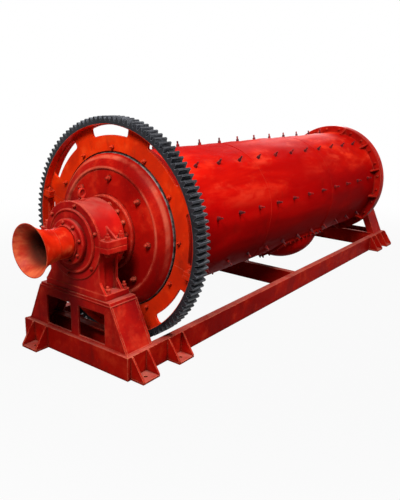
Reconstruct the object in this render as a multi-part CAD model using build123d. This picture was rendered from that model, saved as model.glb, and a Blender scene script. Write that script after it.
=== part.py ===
"""Wet or dry grinding ball mill on a welded skid frame.

The mill lies along X with its feed end at the low X side. Z is up, the ground is
Z = 0 and all lengths are in millimetres. A rotating drum with a girth gear turns in
two split bearings that stand on trapezoid stands at the ends of the frame.
"""

import os
from math import acos, atan, cos, pi, radians, sin, sqrt, tan

from build123d import *

# Girth gear. The teeth set the scale of the whole mill.
MODULE = 12.0
TEETH = 112
PRESSURE_ANGLE = 20.0
GEAR_WIDTH = 100.0
PITCH_RADIUS = MODULE * TEETH / 2
TIP_RADIUS = PITCH_RADIUS + MODULE
ROOT_RADIUS = PITCH_RADIUS - 1.25 * MODULE
RIM_THICKNESS = 20.0
RIM_INNER_RADIUS = ROOT_RADIUS - RIM_THICKNESS
WEB_THICKNESS = 16.0
WEB_SETBACK = 50.0
WEB_BORE_GAP = 8.0
SLOT_COUNT = 8
SLOT_INNER_RADIUS = 573.0
SLOT_OUTER_RADIUS = 632.0
SLOT_SWEEP = 29.0
SLOT_PHASE = 3.5
SLOT_CORNER = 18.0
SPLIT_ANGLE = -15.0
LUG_THICKNESS = 22.0
LUG_SETBACK = 6.0

# Frame.
FRAME_LENGTH = 4000.0
FRAME_WIDTH = 900.0
BEAM_HEIGHT = 140.0
BEAM_FLANGE = 50.0
BEAM_WEB = 8.0
BEAM_FLANGE_THICKNESS = 10.0
BEAM_ROOT_FILLET = 8.0
SHAFT_HEIGHT = 720.0

# Anchor feet.
FOOT_LENGTH = 136.0
FOOT_REACH = 94.0
FOOT_PLATE = 12.0
GUSSET_THICKNESS = 10.0
GUSSET_LIP = 12.0
ANCHOR_HOLE_RADIUS = 11.0
CORNER_FOOT_INSET = 93.0
INNER_FOOT_FEED_INSET = 405.0
INNER_FOOT_DISCHARGE_INSET = 336.0
END_FACE_FOOT_INSET = 152.0

# Bearing stands.
STAND_DEPTH = 206.0
STAND_END_LEDGE = 22.0
STAND_SIDE_LEDGE = 30.0
STAND_HEIGHT = 272.0
STAND_TOP_HALF_WIDTH = 294.0
STAND_PLATE = 12.0
STAND_TOP_PLATE = 20.0
WINDOW_POST = 66.0
WINDOW_WIDTH = 219.0
WINDOW_SILL = 12.0
WINDOW_HEIGHT = 186.0
WINDOW_CORNER = 8.0
BACK_LEG_WIDTH = 70.0
BACK_BAND_HEIGHT = 72.0
STAND_TOP = BEAM_HEIGHT + STAND_HEIGHT
STAND_FOOT_HALF_WIDTH = FRAME_WIDTH / 2 - STAND_SIDE_LEDGE
BEARING_X = FRAME_LENGTH / 2 - STAND_END_LEDGE - STAND_DEPTH / 2

# Split bearings.
HOUSING_DEPTH = 200.0
HOUSING_RADIUS = 222.0
FACE_FLANGE_RADIUS = 227.0
FACE_FLANGE_THICKNESS = 13.0
HOUSING_CHAMFER = 4.0
BLOCK_HALF_WIDTH = 208.0
BLOCK_OUTER_END = 93.0
BLOCK_INNER_END = -52.0
OUTER_STRIP = 41.0
INNER_STRIP = 18.0
SIDE_RECESS = 15.0
TOE_RISE = 62.0
TOE_REACH = 44.0
TOE_THICKNESS = 16.0
BASE_FLANGE_HALF_WIDTH = 258.0
BASE_FLANGE_DEPTH = 192.0
BASE_FLANGE_THICKNESS = 35.0
BASE_FLANGE_CORNER = 10.0
EAR_HALF_WIDTH = 286.0
EAR_OUTER_END = 97.0
EAR_INNER_END = -58.0
EAR_CORNER = 12.0
EAR_TOP = 38.0
EAR_BOTTOM = 32.0
EAR_RIB_THICKNESS = 12.0
EAR_RIB_HEIGHT = 64.0
EAR_RIB_TOE = 8.0
BUSH_WALL = 30.0
BUSH_INNER_END = -80.0
BUSH_OUTER_END = 70.0
INNER_WALL_GAP = 10.0
COVER_RADIUS = 187.0
COVER_THICKNESS = 6.0
COVER_BEAD = 16.0
COVER_BEAD_RISE = 8.0
GLAND_RADIUS = 131.0
GLAND_THICKNESS = 32.0
GLAND_EDGE = 5.0
GLAND_NOSE_WALL = 9.0
GLAND_NOSE_LENGTH = 16.0
COVER_BORE_GAP = 12.0

# Trunnions and spouts.
JOURNAL_RADIUS = 130.0
RUNNING_CLEARANCE = 0.08
GLAND_CLEARANCE = 1.5
TUBE_SLIP = 2.0
TRUNNION_END = 78.0
TRUNNION_FLANGE_RADIUS = 231.0
TRUNNION_FLANGE_THICKNESS = 24.0
TRUNNION_FILLET = 16.0
SPIGOT_RADIUS = 150.0
SPIGOT_LENGTH = 36.0
TUBE_RADIUS = 88.0
TUBE_WALL = 7.0
TUBE_FLANGE_RADIUS = 120.0
TUBE_FLANGE_THICKNESS = 12.0
TUBE_END = 272.0
COLLAR_RADIUS = 93.0
COLLAR_LENGTH = 20.0
MOUTH_LENGTH = 116.0
MOUTH_RADIUS = 149.0
MOUTH_BELLY = 0.42
MOUTH_WALL = 5.0

# Drum.
SHELL_RADIUS = 472.0
SHELL_WALL = 12.0
FLANGE_HEIGHT = 64.0
FLANGE_THICKNESS = 45.0
FLANGE_CHAMFER = 2.0
GEAR_FROM_BEARING = 192.0
JOINT_FROM_BEARING = 363.0
HEAD_COLLAR = 21.0
HEAD_SHOULDER = 98.0
HEAD_SHOULDER_DROP = 27.0
HEAD_STEP = 129.0
HEAD_STEP_DROP = 81.0
HEAD_STEP_LAND = 8.0
HEAD_RECESS = 119.0
HEAD_RECESS_DROP = 95.0
HEAD_HUB = 133.0
HEAD_HUB_LAND = 14.0
HEAD_WALL = 40.0
HEAD_LIP = 22.0
RIB_COUNT = 12
RIB_PHASE = 16.0
RIB_THICKNESS = 14.0
RIB_LENGTH = 92.0
RIB_TIP = 12.0
RIB_INSET = 4.0
FLANGE_RADIUS = SHELL_RADIUS + FLANGE_HEIGHT
GEAR_FACE_X = GEAR_FROM_BEARING - BEARING_X
HEAD_JOINT_FEED = GEAR_FACE_X + WEB_SETBACK + WEB_THICKNESS + FLANGE_THICKNESS
HEAD_JOINT_DISCHARGE = BEARING_X - JOINT_FROM_BEARING
LUG_INNER_RADIUS = (FLANGE_RADIUS + RIM_INNER_RADIUS) / 2
WEB_BORE_RADIUS = SHELL_RADIUS + WEB_BORE_GAP

# Manhole on the lower front of the shell.
MANHOLE_ANGLE = -60.0
MANHOLE_FROM_JOINT = 1255.0
MANHOLE_LENGTH = 880.0
MANHOLE_WIDTH = 320.0
MANHOLE_RISE = 8.0
MANHOLE_WALL = 40.0
COVER_PLATE = 8.0
COVER_MARGIN = 5.0
DOME_HEIGHT = 98.0
DOME_ROUND = 140.0
DOME_HALF_LENGTH = 500.0
MANHOLE_X = HEAD_JOINT_DISCHARGE - MANHOLE_FROM_JOINT
MANHOLE_SEAT = SHELL_RADIUS + MANHOLE_RISE

CENTRE_LINE = Axis((0, 0, 0), (1, 0, 0))
AT_SHAFT = Location((0, 0, SHAFT_HEIGHT))


def save(name, shape):
    """Write one node of the mill."""
    export_step(shape, f"parts/{name}.step")


def box(low, high):
    """A block between two corners."""
    size = [b - a for a, b in zip(low, high)]
    middle = [(a + b) / 2 for a, b in zip(low, high)]
    return Pos(*middle) * Box(*size)


def turned(points):
    """A body turned about the centre line from (x, radius) points."""
    outline = Polyline(*[(x, 0, r) for x, r in points], close=True)
    return revolve(make_face(outline), axis=CENTRE_LINE)


def line(*points):
    """Straight runs of a turned outline through (x, radius) points."""
    return Polyline(*[(x, 0, r) for x, r in points])


def arc(start, middle, end):
    """Round run of a turned outline through three (x, radius) points."""
    return ThreePointArc(*[(x, 0, r) for x, r in (start, middle, end)])


def spun(*runs):
    """A body turned about the centre line from straight and round runs."""
    return revolve(make_face(Curve() + list(runs)), axis=CENTRE_LINE)


def tube(x_low, x_high, outer, inner):
    """A plain ring about the centre line."""
    return turned([(x_low, inner), (x_low, outer), (x_high, outer), (x_high, inner)])


def clocked(shape, angle):
    """Turn a shape from the top of the mill to an angle counted from its front side."""
    return Rot(X=90 - angle) * shape


def plate_yz(points, x_low, x_high):
    """A flat plate of the given (y, z) outline, standing across the mill."""
    outline = Polyline(*[(x_low, y, z) for y, z in points], close=True)
    return extrude(make_face(outline), amount=x_high - x_low, dir=(1, 0, 0))


def plate_xz(points, y_low, y_high):
    """A flat plate of the given (x, z) outline, standing along the mill."""
    outline = Polyline(*[(x, y_low, z) for x, z in points], close=True)
    return extrude(make_face(outline), amount=y_high - y_low, dir=(0, 1, 0))


def mirrored(shape):
    """The same piece for the discharge end."""
    return mirror(shape, about=Plane.YZ)


# Frame of channel beams, mitred at the corners.

def channel_outline():
    """Channel section with its web on the outside at 0 and its flanges inward."""
    outline = Polyline(
        (0, 0),
        (BEAM_FLANGE, 0),
        (BEAM_FLANGE, BEAM_FLANGE_THICKNESS),
        (BEAM_WEB, BEAM_FLANGE_THICKNESS),
        (BEAM_WEB, BEAM_HEIGHT - BEAM_FLANGE_THICKNESS),
        (BEAM_FLANGE, BEAM_HEIGHT - BEAM_FLANGE_THICKNESS),
        (BEAM_FLANGE, BEAM_HEIGHT),
        (0, BEAM_HEIGHT),
        close=True,
    )
    face = make_face(outline)
    inside = [
        v for v in face.vertices()
        if abs(v.X - BEAM_WEB) < 0.01 and 1 < v.Y < BEAM_HEIGHT - 1
    ]
    return fillet(inside, BEAM_ROOT_FILLET)


def channel(length):
    """Beam along X, centred, with its web in the plane Y = 0 and flanges to +Y."""
    section = Plane((-length / 2, 0, 0), x_dir=(0, 1, 0), z_dir=(1, 0, 0)) * channel_outline()
    return extrude(section, amount=length, dir=(1, 0, 0))


def mitred_channel(length):
    """Beam whose ends are cut at 45 degrees, longest on its web side."""
    beam = channel(length)
    for side in (-1, 1):
        corner = Polyline(
            (side * length / 2, 0),
            (side * (length / 2 + BEAM_FLANGE), 0),
            (side * (length / 2 + BEAM_FLANGE), 2 * BEAM_FLANGE),
            (side * (length / 2 - 2 * BEAM_FLANGE), 2 * BEAM_FLANGE),
            close=True,
        )
        beam -= extrude(make_face(corner), amount=BEAM_HEIGHT, dir=(0, 0, 1))
    return beam


def coped_channel():
    """Cross member that reaches the side beams' webs between their flanges."""
    inside_length = FRAME_WIDTH - 2 * BEAM_WEB
    clear_length = FRAME_WIDTH - 2 * BEAM_FLANGE
    beam = channel(inside_length)
    for side in (-1, 1):
        low_x, high_x = sorted((side * clear_length / 2, side * FRAME_WIDTH / 2))
        for low_z, high_z in (
            (0, BEAM_FLANGE_THICKNESS + BEAM_ROOT_FILLET),
            (BEAM_HEIGHT - BEAM_FLANGE_THICKNESS - BEAM_ROOT_FILLET, BEAM_HEIGHT),
        ):
            beam -= box((low_x, -1, low_z), (high_x, BEAM_FLANGE + 1, high_z))
    return beam


side_beam = Pos(0, -FRAME_WIDTH / 2, 0) * mitred_channel(FRAME_LENGTH)
save("side_beam_front", side_beam)
save("side_beam_back", mirror(side_beam, about=Plane.XZ))

end_beam = Pos(-FRAME_LENGTH / 2, 0, 0) * Rot(Z=-90) * mitred_channel(FRAME_WIDTH)
save("end_beam_feed", end_beam)
save("end_beam_discharge", mirrored(end_beam))

stand_inner_x = BEARING_X - STAND_DEPTH / 2
across = Rot(Z=90) * coped_channel()
save("cross_member_feed", Pos(-stand_inner_x, 0, 0) * across)
save("cross_member_discharge", mirrored(Pos(-stand_inner_x, 0, 0) * across))
save("cross_member_middle", Pos(-BEAM_FLANGE / 2, 0, 0) * Rot(Z=-90) * coped_channel())


# Anchor feet: a plate on the ground and two gussets up the web of the beam.

def foot_plate():
    """Foot plate centred on X that reaches out to -Y from the beam's web at Y = 0."""
    plate = box(
        (-FOOT_LENGTH / 2, -FOOT_REACH, 0),
        (FOOT_LENGTH / 2, 0, FOOT_PLATE),
    )
    hole = Pos(0, -FOOT_REACH / 2, FOOT_PLATE / 2) * Cylinder(ANCHOR_HOLE_RADIUS, 2 * FOOT_PLATE)
    return plate - hole


def foot_gussets():
    """The two gussets of one foot."""
    outline = [
        (0, FOOT_PLATE),
        (-FOOT_REACH, FOOT_PLATE),
        (-FOOT_REACH, FOOT_PLATE + GUSSET_LIP / 2),
        (-GUSSET_LIP, BEAM_HEIGHT),
        (0, BEAM_HEIGHT),
    ]
    edge = FOOT_LENGTH / 2
    return [
        plate_yz(outline, -edge, -edge + GUSSET_THICKNESS),
        plate_yz(outline, edge - GUSSET_THICKNESS, edge),
    ]


foot_places = []
corner_foot_x = CORNER_FOOT_INSET - FRAME_LENGTH / 2
paired_feet_x = (
    INNER_FOOT_FEED_INSET - FRAME_LENGTH / 2,
    FRAME_LENGTH / 2 - INNER_FOOT_DISCHARGE_INSET,
    FRAME_LENGTH / 2 - FOOT_LENGTH / 2,
)
for foot_x in (corner_foot_x, *paired_feet_x):
    foot_places.append(Pos(foot_x, -FRAME_WIDTH / 2, 0))
for foot_x in paired_feet_x:
    foot_places.append(Pos(foot_x, FRAME_WIDTH / 2, 0) * Rot(Z=180))
end_face_foot_y = FRAME_WIDTH / 2 - END_FACE_FOOT_INSET
foot_places.append(Pos(-FRAME_LENGTH / 2, end_face_foot_y, 0) * Rot(Z=-90))
save("foot_plates", Compound(children=[place * foot_plate() for place in foot_places]))
gussets = [place * gusset for place in foot_places for gusset in foot_gussets()]
save("foot_gussets", Compound(children=gussets))


# Stands: trapezoids of welded plate, open inside. They are drawn about their own
# centre with the outer side at +X, for the discharge end, and mirrored for the feed end.

def stand_half_width(z):
    """Half width of the stand's outline at a height."""
    share = (z - BEAM_HEIGHT) / (STAND_TOP - BEAM_HEIGHT)
    return STAND_FOOT_HALF_WIDTH + share * (STAND_TOP_HALF_WIDTH - STAND_FOOT_HALF_WIDTH)


def trapezoid(z_low, z_high, inset=0.0):
    """Outline of the stand between two heights, drawn in by an amount along Y."""
    low = stand_half_width(z_low) - inset
    high = stand_half_width(z_high) - inset
    return [(-low, z_low), (low, z_low), (high, z_high), (-high, z_high)]


half_depth = STAND_DEPTH / 2
plate_top = STAND_TOP - STAND_TOP_PLATE
outer_plate = plate_yz(trapezoid(BEAM_HEIGHT, plate_top), half_depth - STAND_PLATE, half_depth)
for side in (-1, 1):
    low_y, high_y = sorted((side * WINDOW_POST / 2, side * (WINDOW_POST / 2 + WINDOW_WIDTH)))
    window_sill = BEAM_HEIGHT + WINDOW_SILL
    window = box(
        (half_depth - 2 * STAND_PLATE, low_y, window_sill),
        (half_depth + STAND_PLATE, high_y, window_sill + WINDOW_HEIGHT),
    )
    outer_plate -= fillet(window.edges().filter_by(Axis.X), WINDOW_CORNER)

back_plate = plate_yz(trapezoid(BEAM_HEIGHT, plate_top), -half_depth, STAND_PLATE - half_depth)
band_bottom = STAND_TOP - BACK_BAND_HEIGHT
back_plate -= plate_yz(
    trapezoid(BEAM_HEIGHT - STAND_PLATE, band_bottom, BACK_LEG_WIDTH),
    -half_depth - STAND_PLATE,
    2 * STAND_PLATE - half_depth,
)

lean = atan((STAND_FOOT_HALF_WIDTH - STAND_TOP_HALF_WIDTH) / (STAND_TOP - BEAM_HEIGHT))
side_reach = STAND_PLATE / cos(lean)
side_plates = []
for side in (-1, 1):
    foot_y = side * stand_half_width(BEAM_HEIGHT)
    head_y = side * stand_half_width(plate_top)
    side_plates.append(plate_yz(
        [
            (foot_y, BEAM_HEIGHT),
            (foot_y - side * side_reach, BEAM_HEIGHT),
            (head_y - side * side_reach, plate_top),
            (head_y, plate_top),
        ],
        STAND_PLATE - half_depth,
        half_depth - STAND_PLATE,
    ))

top_plate = plate_yz(trapezoid(plate_top, STAND_TOP), -half_depth, half_depth)

at_stand = Pos(BEARING_X, 0, 0)
for part_name, shape in (
    ("outer_plate", outer_plate),
    ("inner_plate", back_plate),
    ("side_plates", Compound(children=side_plates)),
    ("top_plate", top_plate),
):
    save(f"stand_{part_name}_discharge", at_stand * shape)
    save(f"stand_{part_name}_feed", mirrored(at_stand * shape))


# Split bearings, drawn about the shaft with their outer side at +X.

half_housing = HOUSING_DEPTH / 2
drop_to_stand = SHAFT_HEIGHT - STAND_TOP
bush_radius = JOURNAL_RADIUS + BUSH_WALL
inner_wall_bore = JOURNAL_RADIUS + INNER_WALL_GAP
bearing_bore = turned([
    (-HOUSING_DEPTH, 0),
    (-HOUSING_DEPTH, inner_wall_bore),
    (BUSH_INNER_END, inner_wall_bore),
    (BUSH_INNER_END, bush_radius),
    (HOUSING_DEPTH, bush_radius),
    (HOUSING_DEPTH, 0),
])
barrel = turned([
    (-half_housing, 0),
    (-half_housing, HOUSING_RADIUS - HOUSING_CHAMFER),
    (HOUSING_CHAMFER - half_housing, HOUSING_RADIUS),
    (half_housing - FACE_FLANGE_THICKNESS, HOUSING_RADIUS),
    (half_housing - FACE_FLANGE_THICKNESS, FACE_FLANGE_RADIUS),
    (half_housing - HOUSING_CHAMFER / 2, FACE_FLANGE_RADIUS),
    (half_housing, FACE_FLANGE_RADIUS - HOUSING_CHAMFER / 2),
    (half_housing, 0),
])
reach = 2 * HOUSING_DEPTH + EAR_HALF_WIDTH
lower_space = box((-reach, -reach, -reach), (reach, reach, 0))


def ears(low_z, high_z):
    """Pair of bolting ears at the split, as one slab with rounded outer corners."""
    slab = box(
        (EAR_INNER_END, -EAR_HALF_WIDTH, low_z),
        (EAR_OUTER_END, EAR_HALF_WIDTH, high_z),
    )
    return fillet(slab.edges().filter_by(Axis.Z), EAR_CORNER)


def pedestal():
    """Block under the bearing: two upright strips a side with a panel set back between."""
    block = box(
        (BLOCK_INNER_END, -BLOCK_HALF_WIDTH, -drop_to_stand),
        (BLOCK_OUTER_END, BLOCK_HALF_WIDTH, 0),
    )
    flange_top = BASE_FLANGE_THICKNESS - drop_to_stand
    for side in (-1, 1):
        low_y, high_y = sorted((
            side * (BLOCK_HALF_WIDTH - SIDE_RECESS),
            side * (BLOCK_HALF_WIDTH + SIDE_RECESS),
        ))
        block -= box(
            (BLOCK_INNER_END + INNER_STRIP, low_y, flange_top),
            (BLOCK_OUTER_END - OUTER_STRIP, high_y, -EAR_BOTTOM),
        )
        toe = [
            (side * (BLOCK_HALF_WIDTH - SIDE_RECESS), flange_top),
            (side * (BLOCK_HALF_WIDTH + TOE_REACH), flange_top),
            (side * BLOCK_HALF_WIDTH, flange_top + TOE_RISE),
            (side * (BLOCK_HALF_WIDTH - SIDE_RECESS), flange_top + TOE_RISE),
        ]
        block += plate_yz(toe, BLOCK_OUTER_END - TOE_THICKNESS, BLOCK_OUTER_END)
        block += plate_yz(toe, BLOCK_INNER_END, BLOCK_INNER_END + TOE_THICKNESS)
    return block


bearing_base = (barrel & lower_space) + pedestal() + ears(-EAR_BOTTOM, 0)
base_flange = box(
    (-BASE_FLANGE_DEPTH / 2, -BASE_FLANGE_HALF_WIDTH, -drop_to_stand),
    (BASE_FLANGE_DEPTH / 2, BASE_FLANGE_HALF_WIDTH, BASE_FLANGE_THICKNESS - drop_to_stand),
)
bearing_base += fillet(base_flange.edges().filter_by(Axis.Z), BASE_FLANGE_CORNER)
bearing_base -= bearing_bore

bearing_cap = (barrel - lower_space) + ears(0, EAR_TOP)
rib_top = EAR_TOP + EAR_RIB_HEIGHT
rib_foot = sqrt(HOUSING_RADIUS**2 - rib_top**2)
rib_centre = (EAR_INNER_END + EAR_OUTER_END) / 2
for side in (-1, 1):
    bearing_cap += plate_yz(
        [
            (side * (rib_foot - BUSH_WALL / 2), EAR_TOP / 2),
            (side * (EAR_HALF_WIDTH - EAR_CORNER), EAR_TOP / 2),
            (side * (EAR_HALF_WIDTH - EAR_CORNER), EAR_TOP + EAR_RIB_TOE),
            (side * rib_foot, rib_top),
            (side * (rib_foot - BUSH_WALL / 2), rib_top),
        ],
        rib_centre - EAR_RIB_THICKNESS / 2,
        rib_centre + EAR_RIB_THICKNESS / 2,
    )
bearing_cap -= bearing_bore

bush_bore = JOURNAL_RADIUS + RUNNING_CLEARANCE
bearing_bush = tube(BUSH_INNER_END, BUSH_OUTER_END, bush_radius, bush_bore)

cover_bore = TUBE_RADIUS + COVER_BORE_GAP
cover_face = half_housing + COVER_THICKNESS
bead_inner = COVER_RADIUS - COVER_BEAD
bead_side = COVER_BEAD / 3
bead_top = cover_face + COVER_BEAD_RISE
bearing_cover = turned([
    (half_housing, cover_bore),
    (half_housing, COVER_RADIUS),
    (cover_face, COVER_RADIUS),
    (bead_top, COVER_RADIUS - bead_side),
    (bead_top, bead_inner + bead_side),
    (cover_face, bead_inner),
    (cover_face, cover_bore),
])

gland_bore = TUBE_RADIUS + GLAND_CLEARANCE
gland_face = cover_face + GLAND_THICKNESS
nose_radius = TUBE_RADIUS + GLAND_NOSE_WALL
bearing_gland = turned([
    (cover_face, gland_bore),
    (cover_face, GLAND_RADIUS),
    (gland_face - GLAND_EDGE, GLAND_RADIUS),
    (gland_face, GLAND_RADIUS - GLAND_EDGE),
    (gland_face, nose_radius + GLAND_EDGE),
    (gland_face + GLAND_EDGE, nose_radius),
    (gland_face + GLAND_NOSE_LENGTH, nose_radius),
    (gland_face + GLAND_NOSE_LENGTH, gland_bore),
])

at_bearing = Pos(BEARING_X, 0, SHAFT_HEIGHT)
for part_name, shape in (
    ("base", bearing_base),
    ("cap", bearing_cap),
    ("bush", bearing_bush),
    ("cover", bearing_cover),
    ("gland", bearing_gland),
):
    save(f"bearing_{part_name}_discharge", at_bearing * shape)
    save(f"bearing_{part_name}_feed", mirrored(at_bearing * shape))


# Spouts: a tube through each trunnion with a trumpet mouth welded to its outer end.

def spout_tube(inner_end):
    """Tube from the drum's inside to the mouth, with the flange that holds it."""
    return turned([
        (inner_end, TUBE_RADIUS - TUBE_WALL),
        (inner_end, TUBE_RADIUS),
        (TRUNNION_END, TUBE_RADIUS),
        (TRUNNION_END, TUBE_FLANGE_RADIUS),
        (TRUNNION_END + TUBE_FLANGE_THICKNESS, TUBE_FLANGE_RADIUS),
        (TRUNNION_END + TUBE_FLANGE_THICKNESS, TUBE_RADIUS),
        (TUBE_END, TUBE_RADIUS),
        (TUBE_END, TUBE_RADIUS - TUBE_WALL),
    ])


def spout_mouth():
    """Trumpet of thin sheet that flares to a round mouth, with a welding collar."""
    mouth_end = TUBE_END + MOUTH_LENGTH
    waist = TUBE_END + MOUTH_LENGTH * MOUTH_BELLY
    belly = TUBE_RADIUS + (MOUTH_RADIUS - TUBE_RADIUS) * MOUTH_BELLY**1.3
    collar_start = TUBE_END - COLLAR_LENGTH
    return spun(
        line((mouth_end, MOUTH_RADIUS - MOUTH_WALL), (mouth_end, MOUTH_RADIUS)),
        arc((mouth_end, MOUTH_RADIUS), (waist, belly), (TUBE_END, COLLAR_RADIUS)),
        line(
            (TUBE_END, COLLAR_RADIUS),
            (collar_start, COLLAR_RADIUS),
            (collar_start, TUBE_RADIUS),
            (TUBE_END, TUBE_RADIUS),
            (TUBE_END, TUBE_RADIUS - TUBE_WALL),
        ),
        arc(
            (TUBE_END, TUBE_RADIUS - TUBE_WALL),
            (waist, belly - MOUTH_WALL - TUBE_WALL / 2),
            (mouth_end, MOUTH_RADIUS - MOUTH_WALL),
        ),
    )


# Trunnions: hollow journals with a flange against the head.

def trunnion(hub_face):
    """Trunnion in the bearing's frame; hub_face is where the head's hub ends."""
    flange_face = hub_face + TRUNNION_FLANGE_THICKNESS
    bore = TUBE_RADIUS + TUBE_SLIP
    return turned([
        (hub_face - SPIGOT_LENGTH, bore),
        (hub_face - SPIGOT_LENGTH, SPIGOT_RADIUS),
        (hub_face, SPIGOT_RADIUS),
        (hub_face, TRUNNION_FLANGE_RADIUS),
        (flange_face - GLAND_EDGE, TRUNNION_FLANGE_RADIUS),
        (flange_face, TRUNNION_FLANGE_RADIUS - GLAND_EDGE),
        (flange_face, JOURNAL_RADIUS + TRUNNION_FILLET),
        (flange_face + TRUNNION_FILLET, JOURNAL_RADIUS),
        (TRUNNION_END, JOURNAL_RADIUS),
        (TRUNNION_END, bore),
    ])


# Heads: dished castings, drawn outward along +X from their joint with the shell.

def mill_head():
    """Head with its joint flange, rounded shoulder, raised ring and hub."""
    collar_end = FLANGE_THICKNESS + HEAD_COLLAR
    shoulder = (HEAD_SHOULDER, SHELL_RADIUS - HEAD_SHOULDER_DROP)
    step = (HEAD_STEP, SHELL_RADIUS - HEAD_STEP_DROP)
    recess_radius = SHELL_RADIUS - HEAD_RECESS_DROP
    inner_radius = SHELL_RADIUS - HEAD_LIP
    return spun(
        line(
            (0, inner_radius),
            (0, FLANGE_RADIUS),
            (FLANGE_THICKNESS - FLANGE_CHAMFER, FLANGE_RADIUS),
            (FLANGE_THICKNESS, FLANGE_RADIUS - FLANGE_CHAMFER),
            (FLANGE_THICKNESS, SHELL_RADIUS),
            (collar_end, SHELL_RADIUS),
        ),
        arc((collar_end, SHELL_RADIUS), shoulder, step),
        line(
            step,
            (HEAD_STEP, step[1] - HEAD_STEP_LAND),
            (HEAD_RECESS, recess_radius),
            (HEAD_HUB, TRUNNION_FLANGE_RADIUS + HEAD_HUB_LAND),
            (HEAD_HUB, SPIGOT_RADIUS),
            (HEAD_HUB - HEAD_WALL, SPIGOT_RADIUS),
            (HEAD_RECESS - HEAD_WALL, recess_radius),
            (collar_end - HEAD_WALL / 2, inner_radius),
            (0, inner_radius),
        ),
    )


def shell_flange():
    """Ring welded round the end of the shell, behind the head's joint face."""
    return turned([
        (-FLANGE_THICKNESS, SHELL_RADIUS),
        (-FLANGE_THICKNESS, FLANGE_RADIUS - FLANGE_CHAMFER),
        (FLANGE_CHAMFER - FLANGE_THICKNESS, FLANGE_RADIUS),
        (0, FLANGE_RADIUS),
        (0, SHELL_RADIUS),
    ])


def flange_ribs():
    """Stiffeners in the corner between the shell and its flange."""
    ribs = []
    for index in range(RIB_COUNT):
        rib = plate_xz(
            [
                (-FLANGE_THICKNESS, SHELL_RADIUS - SHELL_WALL),
                (-FLANGE_THICKNESS, FLANGE_RADIUS - RIB_INSET),
                (-FLANGE_THICKNESS - RIB_TIP, FLANGE_RADIUS - RIB_INSET),
                (-FLANGE_THICKNESS - RIB_LENGTH, SHELL_RADIUS + RIB_TIP),
                (-FLANGE_THICKNESS - RIB_LENGTH, SHELL_RADIUS - SHELL_WALL),
            ],
            -RIB_THICKNESS / 2,
            RIB_THICKNESS / 2,
        )
        rib -= turned([
            (-FLANGE_THICKNESS - 2 * RIB_LENGTH, 0),
            (-FLANGE_THICKNESS - 2 * RIB_LENGTH, SHELL_RADIUS),
            (0, SHELL_RADIUS),
            (0, 0),
        ])
        ribs.append(clocked(rib, RIB_PHASE + index * 360 / RIB_COUNT))
    return Compound(children=ribs)


shell = tube(HEAD_JOINT_FEED, HEAD_JOINT_DISCHARGE, SHELL_RADIUS, SHELL_RADIUS - SHELL_WALL)
save("drum_shell", AT_SHAFT * shell)

for end, joint_x in (("discharge", HEAD_JOINT_DISCHARGE), ("feed", -HEAD_JOINT_FEED)):
    hub_from_bearing = joint_x + HEAD_HUB - BEARING_X
    in_drum = {
        "mill_head": Pos(joint_x, 0, SHAFT_HEIGHT) * mill_head(),
        "shell_flange": Pos(joint_x, 0, SHAFT_HEIGHT) * shell_flange(),
        "flange_ribs": Pos(joint_x, 0, SHAFT_HEIGHT) * flange_ribs(),
        "trunnion": at_bearing * trunnion(hub_from_bearing),
        "spout_tube": at_bearing * spout_tube(hub_from_bearing - SPIGOT_LENGTH),
        "spout_mouth": at_bearing * spout_mouth(),
    }
    for part_name, shape in in_drum.items():
        save(f"{part_name}_{end}", shape if end == "discharge" else mirrored(shape))


# Girth gear: a toothed rim round a web with arc slots, split into two halves.

def involute_half_angle(radius):
    """Half of a tooth's angle at a radius, in radians."""
    base_radius = PITCH_RADIUS * cos(radians(PRESSURE_ANGLE))
    roll = acos(base_radius / radius)
    pitch_roll = radians(PRESSURE_ANGLE)
    drift = (tan(roll) - roll) - (tan(pitch_roll) - pitch_roll)
    return pi / (2 * TEETH) - drift


def tooth_outline():
    """All teeth as one closed line of (y, z) points."""
    base_radius = PITCH_RADIUS * cos(radians(PRESSURE_ANGLE))
    flank = [
        (ROOT_RADIUS, involute_half_angle(max(ROOT_RADIUS, base_radius)) * 1.12),
        (PITCH_RADIUS - MODULE / 4, involute_half_angle(PITCH_RADIUS - MODULE / 4)),
        (TIP_RADIUS, involute_half_angle(TIP_RADIUS)),
    ]
    points = []
    for index in range(TEETH):
        middle = 2 * pi * index / TEETH
        rising = [(r, middle - a) for r, a in flank]
        falling = [(r, middle + a) for r, a in reversed(flank)]
        points += [(r * cos(t), r * sin(t)) for r, t in rising + falling]
    return points


def arc_slot():
    """Slot in the web at the top of the gear, with round corners."""
    half_sweep = radians(SLOT_SWEEP / 2)
    corners = []
    arcs = []
    for radius, turn in ((SLOT_INNER_RADIUS, 1), (SLOT_OUTER_RADIUS, -1)):
        start, middle, stop = (
            (0, radius * sin(a), radius * cos(a))
            for a in (-turn * half_sweep, 0, turn * half_sweep)
        )
        arcs.append(ThreePointArc(start, middle, stop))
        corners.append((start, stop))
    sides = [Line(corners[0][1], corners[1][0]), Line(corners[1][1], corners[0][0])]
    face = make_face(Curve() + arcs + sides)
    slot = extrude(face, amount=GEAR_WIDTH, dir=(1, 0, 0))
    return fillet(slot.edges().filter_by(Axis.X), SLOT_CORNER)


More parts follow.
